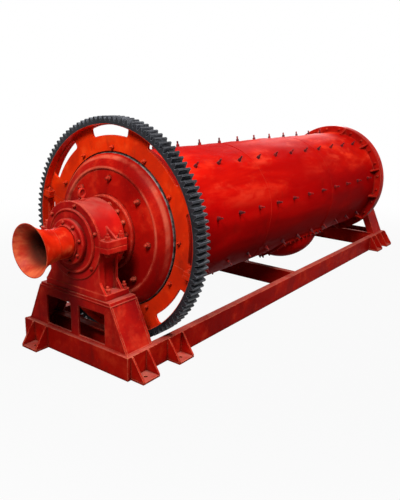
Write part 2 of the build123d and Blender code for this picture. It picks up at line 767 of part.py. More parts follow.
rim = plate_yz(tooth_outline(), 0, GEAR_WIDTH)
rim -= turned([
    (-GEAR_WIDTH, 0),
    (-GEAR_WIDTH, RIM_INNER_RADIUS),
    (2 * GEAR_WIDTH, RIM_INNER_RADIUS),
    (2 * GEAR_WIDTH, 0),
])
into_rim = RIM_INNER_RADIUS + RIM_THICKNESS / 4
web = tube(WEB_SETBACK, WEB_SETBACK + WEB_THICKNESS, into_rim, WEB_BORE_RADIUS)
gear = rim + web
slots = [clocked(arc_slot(), SLOT_PHASE + index * 360 / SLOT_COUNT) for index in range(SLOT_COUNT)]
gear -= slots
lug = box(
    (LUG_SETBACK, -LUG_THICKNESS, LUG_INNER_RADIUS),
    (GEAR_WIDTH - LUG_SETBACK, LUG_THICKNESS, into_rim),
)
for lug_angle in (SPLIT_ANGLE, SPLIT_ANGLE + 180):
    gear += clocked(lug, lug_angle)

upward = (0, sin(radians(SPLIT_ANGLE)), cos(radians(SPLIT_ANGLE)))
split_plane = Plane(origin=(0, 0, 0), z_dir=upward)
at_gear = Pos(GEAR_FACE_X, 0, SHAFT_HEIGHT)
for half_name, keep in (("upper", Keep.TOP), ("lower", Keep.BOTTOM)):
    save(f"girth_gear_{half_name}", at_gear * split(gear, bisect_by=split_plane, keep=keep))


# Manhole: a neck welded to the shell and a domed cover bolted on it.

def bowed_oval(length, width, inner_radius, outer_radius):
    """Oval plate with round ends, rolled to the curve of the shell."""
    outline = Plane((MANHOLE_X, 0, 0)) * SlotOverall(length, width)
    plate = extrude(outline, amount=2 * SHELL_RADIUS)
    return plate & tube(MANHOLE_X - length, MANHOLE_X + length, outer_radius, inner_radius)


neck = bowed_oval(MANHOLE_LENGTH, MANHOLE_WIDTH, SHELL_RADIUS, MANHOLE_SEAT)
neck -= bowed_oval(
    MANHOLE_LENGTH - 2 * MANHOLE_WALL,
    MANHOLE_WIDTH - 2 * MANHOLE_WALL,
    SHELL_RADIUS - SHELL_WALL,
    MANHOLE_SEAT + COVER_PLATE,
)
save("manhole_neck", AT_SHAFT * clocked(neck, MANHOLE_ANGLE))

cover = bowed_oval(
    MANHOLE_LENGTH - 2 * COVER_MARGIN,
    MANHOLE_WIDTH - 2 * COVER_MARGIN,
    MANHOLE_SEAT,
    MANHOLE_SEAT + COVER_PLATE,
)
dome_axis = SHELL_RADIUS + DOME_HEIGHT - DOME_ROUND
dome_outline = Curve() + [
    arc((-DOME_HALF_LENGTH, 0), (0, DOME_ROUND), (DOME_HALF_LENGTH, 0)),
    line((DOME_HALF_LENGTH, 0), (-DOME_HALF_LENGTH, 0)),
]
dome = revolve(make_face(dome_outline), axis=CENTRE_LINE)
dome = Pos(MANHOLE_X, 0, dome_axis) * dome
dome -= tube(MANHOLE_X - MANHOLE_LENGTH, MANHOLE_X + MANHOLE_LENGTH, MANHOLE_SEAT, SHELL_WALL)
dome -= box(
    (MANHOLE_X - MANHOLE_LENGTH, -MANHOLE_WIDTH, -MANHOLE_LENGTH),
    (MANHOLE_X + MANHOLE_LENGTH, MANHOLE_WIDTH, 0),
)
save("manhole_cover", AT_SHAFT * clocked(cover + dome, MANHOLE_ANGLE))
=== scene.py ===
# %% [markdown]
# # A ball mill, dressed for its picture
# The solids of the mill come in as a fixed frame. This lesson paints them and adds what was
# left out of them: bolts, weld beads, the hand-rolled plate of the drum and the studio.

from collections import namedtuple
from math import asin, cos, degrees, exp, hypot, pi, radians, sin

import bmesh
import bpy
from mathutils import Matrix, Vector, noise


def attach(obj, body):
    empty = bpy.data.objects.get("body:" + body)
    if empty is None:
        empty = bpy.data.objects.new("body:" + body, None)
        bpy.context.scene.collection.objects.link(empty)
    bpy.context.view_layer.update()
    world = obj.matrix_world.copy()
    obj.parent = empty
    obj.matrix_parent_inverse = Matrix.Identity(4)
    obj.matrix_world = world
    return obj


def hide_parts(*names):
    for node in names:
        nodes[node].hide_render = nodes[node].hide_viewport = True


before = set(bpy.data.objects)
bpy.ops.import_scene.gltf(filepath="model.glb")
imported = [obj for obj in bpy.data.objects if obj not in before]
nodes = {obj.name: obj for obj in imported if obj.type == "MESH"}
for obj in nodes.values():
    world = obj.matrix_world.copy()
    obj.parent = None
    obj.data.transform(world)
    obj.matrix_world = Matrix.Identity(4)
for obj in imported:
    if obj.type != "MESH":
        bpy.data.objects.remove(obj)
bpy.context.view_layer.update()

# %% [markdown]
# ## Where things are
# Every place on the mill is easiest to name by three numbers: how far along the shaft, how
# far from the shaft's middle line, and at what angle round it. The angle starts on the front
# side and grows upwards. A single function turns these into a point, so that bolts and
# seams can be written the way a fitter would mark them out.

# %% Marking out round the shaft
SHAFT_HEIGHT = 0.720
SHELL_RADIUS = 0.472
BEARING_X = 1.875
GEAR_FACE_X = -1.683
WEB_FACE_X = GEAR_FACE_X + 0.050
FEED_JOINT_X = -1.572
FAR_JOINT_X = 1.512
FLANGE_THICKNESS = 0.045
SPLIT_ANGLE = -15.0
MANHOLE_ANGLE = -60.0
MANHOLE_X = FAR_JOINT_X - 1.255
TOWARDS_FEED = Vector((-1.0, 0.0, 0.0))
TOWARDS_FAR = Vector((1.0, 0.0, 0.0))


def spoke(angle):
    """Direction straight out from the shaft at an angle, counted from the front upwards."""
    turn = radians(angle)
    return Vector((0.0, -cos(turn), sin(turn)))


def round_shaft(x, radius, angle):
    """Point at a distance along the shaft, a radius and an angle."""
    return Vector((x, 0.0, SHAFT_HEIGHT)) + radius * spoke(angle)


print("shaft at", SHAFT_HEIGHT, "m, drum", 2 * SHELL_RADIUS, "m across")

# %% [markdown]
# ## Shader maths that reads like maths
# A finish is a network of nodes. Adding each Math node by hand hides what it works out, so
# one small class wraps a socket and gives it the usual signs. An expression such as
# `1 - rust * 0.5` then adds its own nodes. Colours go through Mix nodes instead, because a
# Math node would turn them grey.


# %% Sockets with signs
class Wire:
    """One output socket, on which + - * / add Math nodes."""

    def __init__(self, finish, socket):
        self.finish = finish
        self.socket = socket

    def maths(self, operation, *others, clamp=False):
        settings = {"operation": operation, "use_clamp": clamp}
        values = dict(enumerate((self, *others)))
        return self.finish.node("ShaderNodeMath", settings, values)

    def __add__(self, other):
        return self.maths("ADD", other)

    def __radd__(self, other):
        return self.maths("ADD", other)

    def __sub__(self, other):
        return self.maths("SUBTRACT", other)

    def __rsub__(self, other):
        return (self * -1) + other

    def __mul__(self, other):
        return self.maths("MULTIPLY", other)

    def __rmul__(self, other):
        return self.maths("MULTIPLY", other)

    def __truediv__(self, other):
        return self.maths("DIVIDE", other)

    def step(self, low, high):
        """0 below low, 1 above high and a soft ramp between."""
        settings = {"interpolation_type": "SMOOTHSTEP"}
        return self.finish.node("ShaderNodeMapRange", settings, {"Value": self, 1: low, 2: high})

    def limited(self):
        """Held between 0 and 1."""
        return self.maths("MULTIPLY", 1.0, clamp=True)


print("a wire knows", [sign for sign in vars(Wire) if sign.startswith("__")])

# %% [markdown]
# ## A material under construction
# Every finish of the mill is built by one class. Its `node` method can add any node: it takes
# the type, the settings and the values or links of the sockets. The other methods are short
# names for the patterns that come back in every paint: soft clouds, worn edges, painted shade
# in corners and faces that look a certain way. All patterns are measured in metres on the part
# itself, so they turn with the drum.


# %% Building a finish
class Finish:
    """A material under construction, with one method that adds any node."""

    def __init__(self, name):
        self.material = bpy.data.materials.new(name)
        self.material.use_nodes = True
        self.tree = self.material.node_tree
        self.tree.nodes.clear()

    def node(self, kind, settings=None, values=None, output=0):
        made = self.tree.nodes.new(kind)
        for name, setting in (settings or {}).items():
            setattr(made, name, setting)
        for name, value in (values or {}).items():
            self.plug(made.inputs[name], value)
        return Wire(self, made.outputs[output])

    def plug(self, entry, value):
        if isinstance(value, Wire):
            self.tree.links.new(value.socket, entry)
        else:
            entry.default_value = value

    def place(self):
        """Position on the object in metres."""
        return self.node("ShaderNodeTexCoord", output="Object")

    def axes(self, vector):
        """The three numbers of a vector."""
        made = self.node("ShaderNodeSeparateXYZ", values={0: vector}).socket.node
        return [Wire(self, made.outputs[index]) for index in range(3)]

    def from_shaft(self, place):
        """Sideways distance, height and true distance from the shaft's middle line."""
        _, y, z = self.axes(place)
        height = z - SHAFT_HEIGHT
        return y, height, (y * y + height * height).maths("SQRT")

    def outwards(self, y, height, radius):
        """Direction straight out from the shaft."""
        return self.node("ShaderNodeCombineXYZ", values={1: y / radius, 2: height / radius})

    def stretched(self, vector, scale):
        """The same pattern pulled out along an axis."""
        return self.node("ShaderNodeMapping", values={"Vector": vector, "Scale": scale})

    def clouds(self, vector, scale, detail=3.0, roughness=0.55, distortion=0.0):
        """Soft irregular patches between 0 and 1."""
        values = {
            "Vector": vector,
            "Scale": scale,
            "Detail": detail,
            "Roughness": roughness,
            "Distortion": distortion,
        }
        return self.node("ShaderNodeTexNoise", values=values)

    def blend(self, factor, first, second):
        """A colour that goes from the first to the second."""
        made = self.tree.nodes.new("ShaderNodeMix")
        made.data_type = "RGBA"
        for entry, value in ((0, factor), (6, first), (7, second)):
            self.plug(made.inputs[entry], value)
        return Wire(self, made.outputs[2])

    def edges(self, radius):
        """How far a rounded edge would turn the surface here: 0 on flats, more on corners."""
        rounded = self.node("ShaderNodeBevel", {"samples": 4}, {"Radius": radius})
        true = self.node("ShaderNodeNewGeometry", output="Normal")
        facing = self.node(
            "ShaderNodeVectorMath", {"operation": "DOT_PRODUCT"}, {0: rounded, 1: true}, "Value"
        )
        return 1 - facing

    def facing(self, direction):
        """How squarely the surface faces a direction of the object: 1 is straight at it."""
        normal = self.node("ShaderNodeTexCoord", output="Normal")
        settings = {"operation": "DOT_PRODUCT"}
        return self.node("ShaderNodeVectorMath", settings, {0: normal, 1: direction}, "Value")

    def occluded_corners(self, reach):
        """1 in tight corners, 0 in the open; it sets painted shade, partly dirt, in corners."""
        settings = {"samples": 4, "only_local": False}
        return 1 - self.node("ShaderNodeAmbientOcclusion", settings, {"Distance": reach}, "AO")

    def grain(self, strength, distance, height, **more):
        """Bump that only tilts the surface, by a height in metres."""
        values = {"Strength": strength, "Distance": distance, "Height": height, **more}
        return self.node("ShaderNodeBump", values=values)

    def shader(self, colour, roughness, normal=None, metallic=None, shine=None):
        """Principled shader. What is left out keeps Blender's own value."""
        given = {
            "Base Color": colour,
            "Metallic": metallic,
            "Roughness": roughness,
            "Normal": normal,
            "Specular IOR Level": shine,
        }
        values = {name: value for name, value in given.items() if value is not None}
        return self.node("ShaderNodeBsdfPrincipled", values=values)

    def mixed(self, share, first, second):
        """Two shaders on one surface."""
        return self.node("ShaderNodeMixShader", values={0: share, 1: first, 2: second})

    def out(self, shader):
        """Ends the network in the material's surface."""
        end = self.tree.nodes.new("ShaderNodeOutputMaterial")
        self.tree.links.new(shader.socket, end.inputs["Surface"])
        return self.material


def rgb(red, green, blue):
    """A colour in the way that the shader counts it, with a full alpha."""
    return (red, green, blue, 1.0)


print("a finish can be built from", [tool for tool in vars(Finish) if tool[0] != "_"])

# %% [markdown]
# ## Sprayed and brushed enamel
# All of the mill wears the same kind of paint, in slightly different reds: a thick enamel
# over welded plate. Close up it has a fine orange-peel skin, patches where it went on
# thicker, darker grime in broad clouds, painted shade in corners, dust with a painted sheen
# on what lies level, and paler edges, knocked and rubbed through to the primer and carrying
# a painted highlight. A photo of paint would be quicker, but would repeat and stretch. One
# recipe of noise makes them all, and each part gets its own tones.


# %% The paint recipe
# Pale edge colour: paint rubbed through to the primer, and a painted highlight on edges.
WORN_EDGE_HIGHLIGHT = rgb(0.80, 0.19, 0.10)
GRIME_AND_CORNER_SHADE = rgb(0.030, 0.010, 0.007)
DUST_AND_SHEEN = rgb(0.34, 0.115, 0.085)
CORNER_REACH = 0.045
EVEN = (1.0, 1.0, 1.0)


def enamel(
    finish, place, base, bright, deep,
    wear=0.5, grime=0.4, gloss=0.38, shine=0.03, dust=0.0, rounding=0.006,
    grain=EVEN, mottle=0.55, rub=WORN_EDGE_HIGHLIGHT,
):
    """Paint with patches, grime, painted corner shade, dust and sheen, pale edges and orange peel.
    """
    grained = finish.stretched(place, grain)
    patches = finish.clouds(grained, 2.4, 4.0, 0.62, 0.5)
    small = finish.clouds(grained, 13.0, 4.0, 0.6)
    colour = finish.blend(patches.step(0.36, 0.64), deep, base)
    mottled = small * mottle + patches * (1 - mottle)
    colour = finish.blend(mottled.step(0.50, 0.70) * 0.85, colour, bright)
    dirt = finish.clouds(finish.stretched(place, (1.0, 1.0, 0.35)), 7.0, 6.0, 0.68, 0.6)
    # Darker colour in tight corners is painted shade, partly grime; the broad clouds are grime.
    corner_shade_mask = finish.occluded_corners(CORNER_REACH).step(0.30, 0.85)
    grime_and_corner_shade = (dirt.step(0.54, 0.78) * grime + corner_shade_mask * (dirt * 0.7 + 0.45)).limited()
    colour = finish.blend(grime_and_corner_shade, colour, GRIME_AND_CORNER_SHADE)
    # Paler grey-pink on upward faces: dust, and a painted sheen on the tops.
    if dust:
        level = finish.facing((0.0, 0.0, 1.0)).step(0.55, 0.98)
        dust_and_sheen = (level * (dirt * 0.9 + small * 0.5).step(0.35, 0.85) * dust).limited()
        colour = finish.blend(dust_and_sheen, colour, DUST_AND_SHEEN)
    # Paler edges are worn paint and a painted highlight where edges would catch the light.
    edge = finish.edges(rounding)
    knocks = finish.clouds(place, 9.0, 3.0, 0.6).step(0.38, 0.62)
    chips = finish.clouds(place, 38.0, 4.0, 0.7).step(0.36, 0.58)
    wear_and_painted_light = ((edge * 6.0).limited() * (knocks * 0.65 + chips * 0.35) * wear).limited()
    colour = finish.blend(wear_and_painted_light, colour, rub)
    specks = finish.clouds(place, 120.0, 2.0).step(0.70, 0.76) * 0.30 * wear
    colour = finish.blend(specks.limited(), colour, rub)
    skin = finish.clouds(place, 260.0, 2.0)
    lumps = finish.clouds(place, 24.0, 3.0)
    rounded = finish.node("ShaderNodeBevel", {"samples": 4}, {"Radius": rounding})
    bumped = finish.grain(0.4, 0.002, lumps + skin * 0.25 + dirt * 0.4, Normal=rounded)
    roughness = (gloss + (patches - 0.5) * 0.25 + grime_and_corner_shade * 0.4 + wear_and_painted_light * 0.3).limited()
    return finish.shader(colour, roughness, bumped, shine=shine)


def paint(name, base, bright, deep, **looks):
    """A plain painted finish."""
    finish = Finish(name)
    return finish.out(enamel(finish, finish.place(), base, bright, deep, **looks))


print("paint recipe ready, primer at worn edges", WORN_EDGE_HIGHLIGHT[:3])

# %% [markdown]
# ## The plain reds
# The castings, the stands, the skid and the end rings of the drum were painted in one coat
# each. Their reds differ by a shade, and so do their wear and their dust, which also carries
# a painted sheen on level faces: the skid near the ground has the most of both. The end
# rings are a deeper red than the drum, partly as painted shade. Each is the recipe with its
# own numbers.

# %% Paint of bearings, stands, skid and end rings
# End rings: a deeper red than the drum, partly dirt and partly painted shade.
shaded_flange_paint = paint(
    "shaded_flange_paint", rgb(0.38, 0.0055, 0.0028), rgb(0.52, 0.018, 0.007), rgb(0.23, 0.0025, 0.0022),
    wear=0.6, grime=0.45, gloss=0.46, shine=0.015,
)
bearing_paint = paint(
    "bearing_paint", rgb(0.48, 0.0080, 0.0050), rgb(0.64, 0.040, 0.018), rgb(0.29, 0.0040, 0.0045),
    wear=0.7, grime=0.50, gloss=0.40, shine=0.025, dust=0.40, rounding=0.010,
    rub=rgb(0.80, 0.125, 0.060),
)
stand_paint = paint(
    "stand_paint", rgb(0.38, 0.0070, 0.0040), rgb(0.56, 0.034, 0.014), rgb(0.23, 0.0040, 0.0045),
    wear=0.8, grime=0.45, gloss=0.45, shine=0.02, dust=0.50,
)
frame_paint = paint(
    "frame_paint", rgb(0.40, 0.0060, 0.0022), rgb(0.54, 0.028, 0.009), rgb(0.25, 0.0035, 0.0020),
    wear=1.1, grime=0.50, gloss=0.46, shine=0.015, dust=0.60,
)
print("plain paints:", shaded_flange_paint.name, bearing_paint.name, stand_paint.name, frame_paint.name)

# %% [markdown]
# ## The drum, lighter on its upper side
# The paint of the drum is lighter and more orange on its upper side and keeps a deep red
# below: painted light from above, partly sun fading. The finish asks how high a place is over
# the shaft and blends two sets of reds, and on the upper side it adds pale orange patches,
# which are painted highlights. The patches are pulled out along the drum, the way rain and
# rollers leave them. Painting this by hand would also work, but noise keeps it even on all
# sides.


# %% Paint of the drum
def drum_finish():
    """Enamel of the drum, lighter and more orange on top: painted light from above, partly fading.
    """
    finish = Finish("drum_paint")
    place = finish.place()
    z = finish.axes(place)[2]
    drift = finish.clouds(finish.stretched(place, (0.4, 1.0, 1.0)), 2.2, 3.0, 0.6)
    # Upper side lighter, lower side deeper red: painted light from above, partly sun fading.
    top_light_and_fade = (z + (drift - 0.5) * 0.25).step(SHAFT_HEIGHT + 0.10, SHAFT_HEIGHT + 0.30)
    base = finish.blend(top_light_and_fade, rgb(0.40, 0.0014, 0.0013), rgb(0.50, 0.0060, 0.0022))
    # Pale orange patches on the upper side are painted highlights.
    painted_highlight_patches = finish.clouds(finish.stretched(place, (0.45, 1.0, 1.0)), 6.5, 4.0, 0.65, 0.4)
    base = finish.blend(painted_highlight_patches.step(0.50, 0.66) * top_light_and_fade * 0.55, base, rgb(0.80, 0.070, 0.030))
    bright = finish.blend(top_light_and_fade, rgb(0.46, 0.0050, 0.0030), rgb(0.74, 0.040, 0.013))
    deep = finish.blend(top_light_and_fade, rgb(0.27, 0.0008, 0.0012), rgb(0.33, 0.0016, 0.0012))
    return finish.out(enamel(
        finish, place, base, bright, deep,
        wear=0.25, grime=0.30, gloss=0.50, shine=0.004, grain=(0.30, 1.0, 1.0), mottle=0.40,
    ))


drum_paint = drum_finish()
print("drum:", drum_paint.name)

# %% [markdown]
# ## The cast heads
# The round heads of the drum are castings with a shoulder and a raised ring. Both carry pale
# bands, stronger on the upper side: painted highlights where their rounded edges catch the
# light. The turned seat that carries the gear was never painted and shows as a thin grey
# ring. As all of it is round, each band is simply a range of distances from the shaft.


# %% Paint of the heads
def head_finish():
    """Red enamel on the cast head, painted highlights on its rings, the seat of the gear bare."""
    finish = Finish("head_paint")
    place = finish.place()
    _, height, radius = finish.from_shaft(place)
    patchy = finish.clouds(place, 5.0, 4.0, 0.6)
    shoulder = radius.step(0.434, 0.446) * radius.step(0.464, 0.454)
    raised = radius.step(0.376, 0.382) * radius.step(0.401, 0.390)
    # Pale bands on the shoulder and the raised ring, stronger on the upper side: painted highlights.
    painted_ring_highlight = (shoulder + raised) * (patchy + height * 0.7).step(0.10, 0.75) * 0.85
    base = finish.blend(painted_ring_highlight.limited(), rgb(0.48, 0.0065, 0.0030), rgb(0.86, 0.155, 0.085))
    cast = enamel(
        finish, place, base, rgb(0.68, 0.030, 0.010), rgb(0.28, 0.0030, 0.0022),
        wear=1.0, grime=0.45, gloss=0.42, shine=0.025, rounding=0.018, rub=rgb(0.84, 0.155, 0.085),
    )
    film = finish.clouds(place, 26.0, 4.0, 0.6)
    steel = finish.blend(film.step(0.4, 0.6), rgb(0.045, 0.036, 0.034), rgb(0.20, 0.17, 0.16))
    seat = finish.shader(steel, (0.40 + film * 0.3).limited(), metallic=0.6)
    bare = radius.step(0.4680, 0.4685) * radius.step(0.4735, 0.4730)
    return finish.out(finish.mixed(bare, cast, seat))


head_paint = head_finish()
print("heads:", head_paint.name)

# %% [markdown]
# ## The spouts
# Stone and slurry run through the two spouts. Outside they keep their orange paint. Inside
# it is scoured off near the mouth and goes dark brown further in, where the throat narrows:
# partly burnt, partly painted shade of the bore. One material does both: the finish looks
# whether a face points towards the shaft or away from it.


# %% Paint of the spouts
def spout_finish():
    """Orange enamel outside; inside a rubbed throat, darker where it narrows: burn and painted
    shade.
    """
    finish = Finish("spout_paint")
    place = finish.place()
    y, height, radius = finish.from_shaft(place)
    inside = finish.facing(finish.outwards(y, height, radius)).step(0.10, -0.10)
    shell = enamel(
        finish, place, rgb(0.62, 0.018, 0.0030), rgb(0.84, 0.120, 0.035), rgb(0.34, 0.006, 0.002),
        wear=0.6, grime=0.40, gloss=0.40, shine=0.02,
    )
    streaks = finish.clouds(finish.stretched(place, (0.25, 1.0, 1.0)), 16.0, 4.0, 0.6)
    rubbed = finish.blend(streaks.step(0.35, 0.70), rgb(0.55, 0.036, 0.014), rgb(0.90, 0.170, 0.060))
    # Dark brown where the throat narrows: partly burnt, partly painted shade of the bore.
    narrow = radius.step(0.125, 0.084)
    burn_and_bore_shade = (narrow + (streaks - 0.5) * 0.5).limited()
    wear_and_painted_light = finish.blend(burn_and_bore_shade, rubbed, rgb(0.055, 0.012, 0.006))
    throat = finish.shader(
        wear_and_painted_light, (0.45 + burn_and_bore_shade * 0.35).limited(), finish.grain(0.35, 0.001, streaks), shine=0.10
    )
    return finish.out(finish.mixed(inside, shell, throat))


spout_paint = spout_finish()
print("spouts:", spout_paint.name)

# %% [markdown]
# ## Iron of the liner bolts
# The long bolts of the drum got a hasty coat and have rusted since. They are far too small
# to need the full recipe: some paint left in patches, brown rust in the rest.


# %% Finish of the liner bolts
def stud_finish():
    """Bolts that were brushed over once and have gone brown and dark since."""
    finish = Finish("stud_iron")
    place = finish.place()
    left = finish.clouds(place, 40.0, 3.0, 0.6).step(0.46, 0.60)
    colour = finish.blend(left, rgb(0.075, 0.008, 0.011), rgb(0.30, 0.008, 0.005))
    rust = finish.clouds(place, 160.0, 3.0, 0.65)
    colour = finish.blend(rust.step(0.58, 0.72) * 0.7, colour, rgb(0.20, 0.050, 0.020))
    bumped = finish.grain(0.4, 0.0006, rust)
    return finish.out(finish.shader(colour, (0.45 + rust * 0.3).limited(), bumped, shine=0.15))


stud_iron = stud_finish()
print("paints so far:", [m.name for m in bpy.data.materials if m.name.endswith("_paint")])

# %% [markdown]
# ## The gear: one casting, two finishes
# The disc of the gear was painted with the head, but the toothed rim was left dark with
# oil and grease. Both are one solid, so the finish itself has to know how far from the
# shaft it is. A little noise on the border keeps the brush line from looking printed. The
# flanks of the teeth are polished a little by years of running, and their corners are pale,
# partly polish and partly a painted glint.


# %% Finish of the gear
def gear_finish():
    """Orange enamel on the disc, oily black iron on the rim and its teeth."""
    finish = Finish("gear_iron")
    place = finish.place()
    y, height, radius = finish.from_shaft(place)
    wobble = (finish.clouds(place, 30.0, 2.0) - 0.5) * 0.004
    on_rim = (radius + wobble * 0.5).step(0.6385, 0.6400)
    disc = enamel(
        finish, place, rgb(0.86, 0.034, 0.0025), rgb(0.94, 0.070, 0.010), rgb(0.58, 0.022, 0.004),
        wear=0.5, grime=0.55, gloss=0.44, shine=0.02,
    )
    streaks = finish.clouds(finish.stretched(place, (0.2, 1.0, 1.0)), 90.0, 4.0, 0.65)
    film = finish.clouds(place, 9.0, 4.0)
    oily = finish.blend(film.step(0.35, 0.7), rgb(0.004, 0.004, 0.006), rgb(0.016, 0.016, 0.021))
    oily = finish.blend(streaks.step(0.60, 0.76) * 0.4, oily, rgb(0.060, 0.060, 0.072))
    slant = finish.facing(finish.outwards(y, height, radius)).maths("ABSOLUTE")
    sideways = finish.facing((1.0, 0.0, 0.0)).maths("ABSOLUTE")
    flank = slant.step(0.75, 0.45) * sideways.step(0.5, 0.3) * radius.step(0.662, 0.668)
    # Pale grey on the corners of the teeth is a painted glint, partly polish; the flanks are
    # polished.
    edge_glint = (finish.edges(0.0035) * 4.0).limited() * film.step(0.25, 0.55)
    rubbed = (edge_glint + flank * streaks.step(0.42, 0.66) * 0.6).limited()
    oily = finish.blend(rubbed * 0.6, oily, rgb(0.30, 0.32, 0.36))
    bumped = finish.grain(0.4, 0.001, streaks + film)
    roughness = (0.30 + film * 0.25).limited()
    iron = finish.shader(oily, roughness, bumped, metallic=rubbed * 0.7, shine=0.20)
    return finish.out(finish.mixed(on_rim, disc, iron))


gear_iron = gear_finish()
print("gear:", gear_iron.name)

# %% [markdown]
# ## Bare metal inside the bearings
# The bushes are bronze. They are turned on a lathe, which leaves fine rings round the shaft:
# noise squeezed flat across the shaft and drawn out round it.


# %% Finish of the bushes
def machined(name, base, dark, gloss):
    """Turned metal with fine rings, an oily film and a little tarnish."""
    finish = Finish(name)
    place = finish.place()
    rings = finish.clouds(finish.stretched(place, (1.0, 0.02, 0.02)), 700.0, 2.0)
    film = finish.clouds(place, 12.0, 4.0)
    colour = finish.blend(film.step(0.35, 0.7), dark, base)
    bumped = finish.grain(0.25, 0.0004, rings)
    return finish.out(finish.shader(colour, (gloss + film * 0.2).limited(), bumped, metallic=1.0))


bearing_bronze = machined("bearing_bronze", rgb(0.50, 0.33, 0.14), rgb(0.20, 0.12, 0.06), 0.28)
print("bushes:", bearing_bronze.name)

# %% [markdown]
# ## Dressing the solids
# The solids keep their shape and only change their finish. Each family of names takes one
# paint, the way the mill was sprayed before it was put together. Where two families fit a
# name, such as bearing and bearing_bush, the longer one holds.

# %% Paint on each solid
FINISHES = {
    "drum_shell": drum_paint,
    "shell_flange": shaded_flange_paint,
    "flange_ribs": shaded_flange_paint,
    "manhole": drum_paint,
    "mill_head": head_paint,
    "trunnion": head_paint,
    "girth_gear": gear_iron,
    "spout": spout_paint,
    "bearing": bearing_paint,
    "bearing_bush": bearing_bronze,
    "stand": stand_paint,
    "side_beam": frame_paint,
    "end_beam": frame_paint,
    "cross_member": frame_paint,
    "foot": frame_paint,
}


def dress(solid, material):
    """Puts one finish in every slot of a solid."""
    if not solid.material_slots:
        solid.data.materials.append(material)
    for entry in solid.material_slots:
        entry.material = material


for name, solid in nodes.items():
    family = max((key for key in FINISHES if name.startswith(key)), key=len)
    dress(solid, FINISHES[family])
print("dressed", len(nodes), "solids")

# %% [markdown]
# ## One nut, many times
# A mill is held together by hundreds of bolts, and they are all the same few shapes: a
# washer, a hexagon and the end of a stud. Modelling each would be slow and joining copies
# would be heavy to change. A Geometry Nodes tree builds one fastener from named sizes and
# sets it on every point of a small marking-out mesh, turned to the direction that the point
# carries, and spun by a seeded random angle as spanners leave them. First comes a class that
# does for such trees what the last one did for finishes.


# %% Building a tree of geometry
class Layout:
    """A Geometry Nodes tree under construction."""

    def __init__(self, name, sockets):
        self.tree = bpy.data.node_groups.new(name, "GeometryNodeTree")
        self.tree.interface.new_socket("Geometry", in_out="INPUT", socket_type="NodeSocketGeometry")
        self.tree.interface.new_socket("Geometry", in_out="OUTPUT", socket_type="NodeSocketGeometry")
        for label, kind in sockets:
            self.tree.interface.new_socket(label, in_out="INPUT", socket_type=kind)
        self.entry = self.tree.nodes.new("NodeGroupInput")
        self.exit = self.tree.nodes.new("NodeGroupOutput")

    def given(self, label):
        return self.entry.outputs[label]

    def node(self, kind, settings=None, values=None, output=0):
        made = self.tree.nodes.new(kind)
        for name, setting in (settings or {}).items():
            setattr(made, name, setting)
        for name, value in (values or {}).items():
            self.plug(made.inputs[name], value)
        return made.outputs[output]

    def plug(self, entry, value):
        if isinstance(value, bpy.types.NodeSocket):
            self.tree.links.new(value, entry)
        elif isinstance(value, list):
            for each in value:
                self.tree.links.new(each, entry)
        else:
            entry.default_value = value

    def maths(self, operation, first, second):
        return self.node("ShaderNodeMath", {"operation": operation}, {0: first, 1: second})

    def plug_of(self, sides, low_radius, high_radius, low, depth):
        """A straight-sided plug of some sides, from a height up by a depth."""
        shape = self.node(
            "GeometryNodeMeshCone",
            values={
                "Vertices": sides,
                "Radius Top": high_radius,
                "Radius Bottom": low_radius,
                "Depth": depth,
            },
        )
        lift = self.node("ShaderNodeCombineXYZ", values={2: low})
        return self.node("GeometryNodeTransform", values={"Geometry": shape, "Translation": lift})

    def finished(self, shape):
        """Ends the tree in real geometry with its finish."""
        real = self.node("GeometryNodeRealizeInstances", values={"Geometry": shape})
        coloured = self.node(
            "GeometryNodeSetMaterial", values={"Geometry": real, "Material": self.given("Finish")}
        )
        self.plug(self.exit.inputs[0], coloured)
        return self.tree


print("a tree can be built from", [tool for tool in vars(Layout) if tool[0] != "_"])

# %% A tree that fits fasteners
CORNER_PER_FLAT = 0.5774
CROWN_SHARE = 0.86
PRISM_SHARE = 0.82
TIP_LENGTH = 0.35
TIP_RADIUS = 0.70


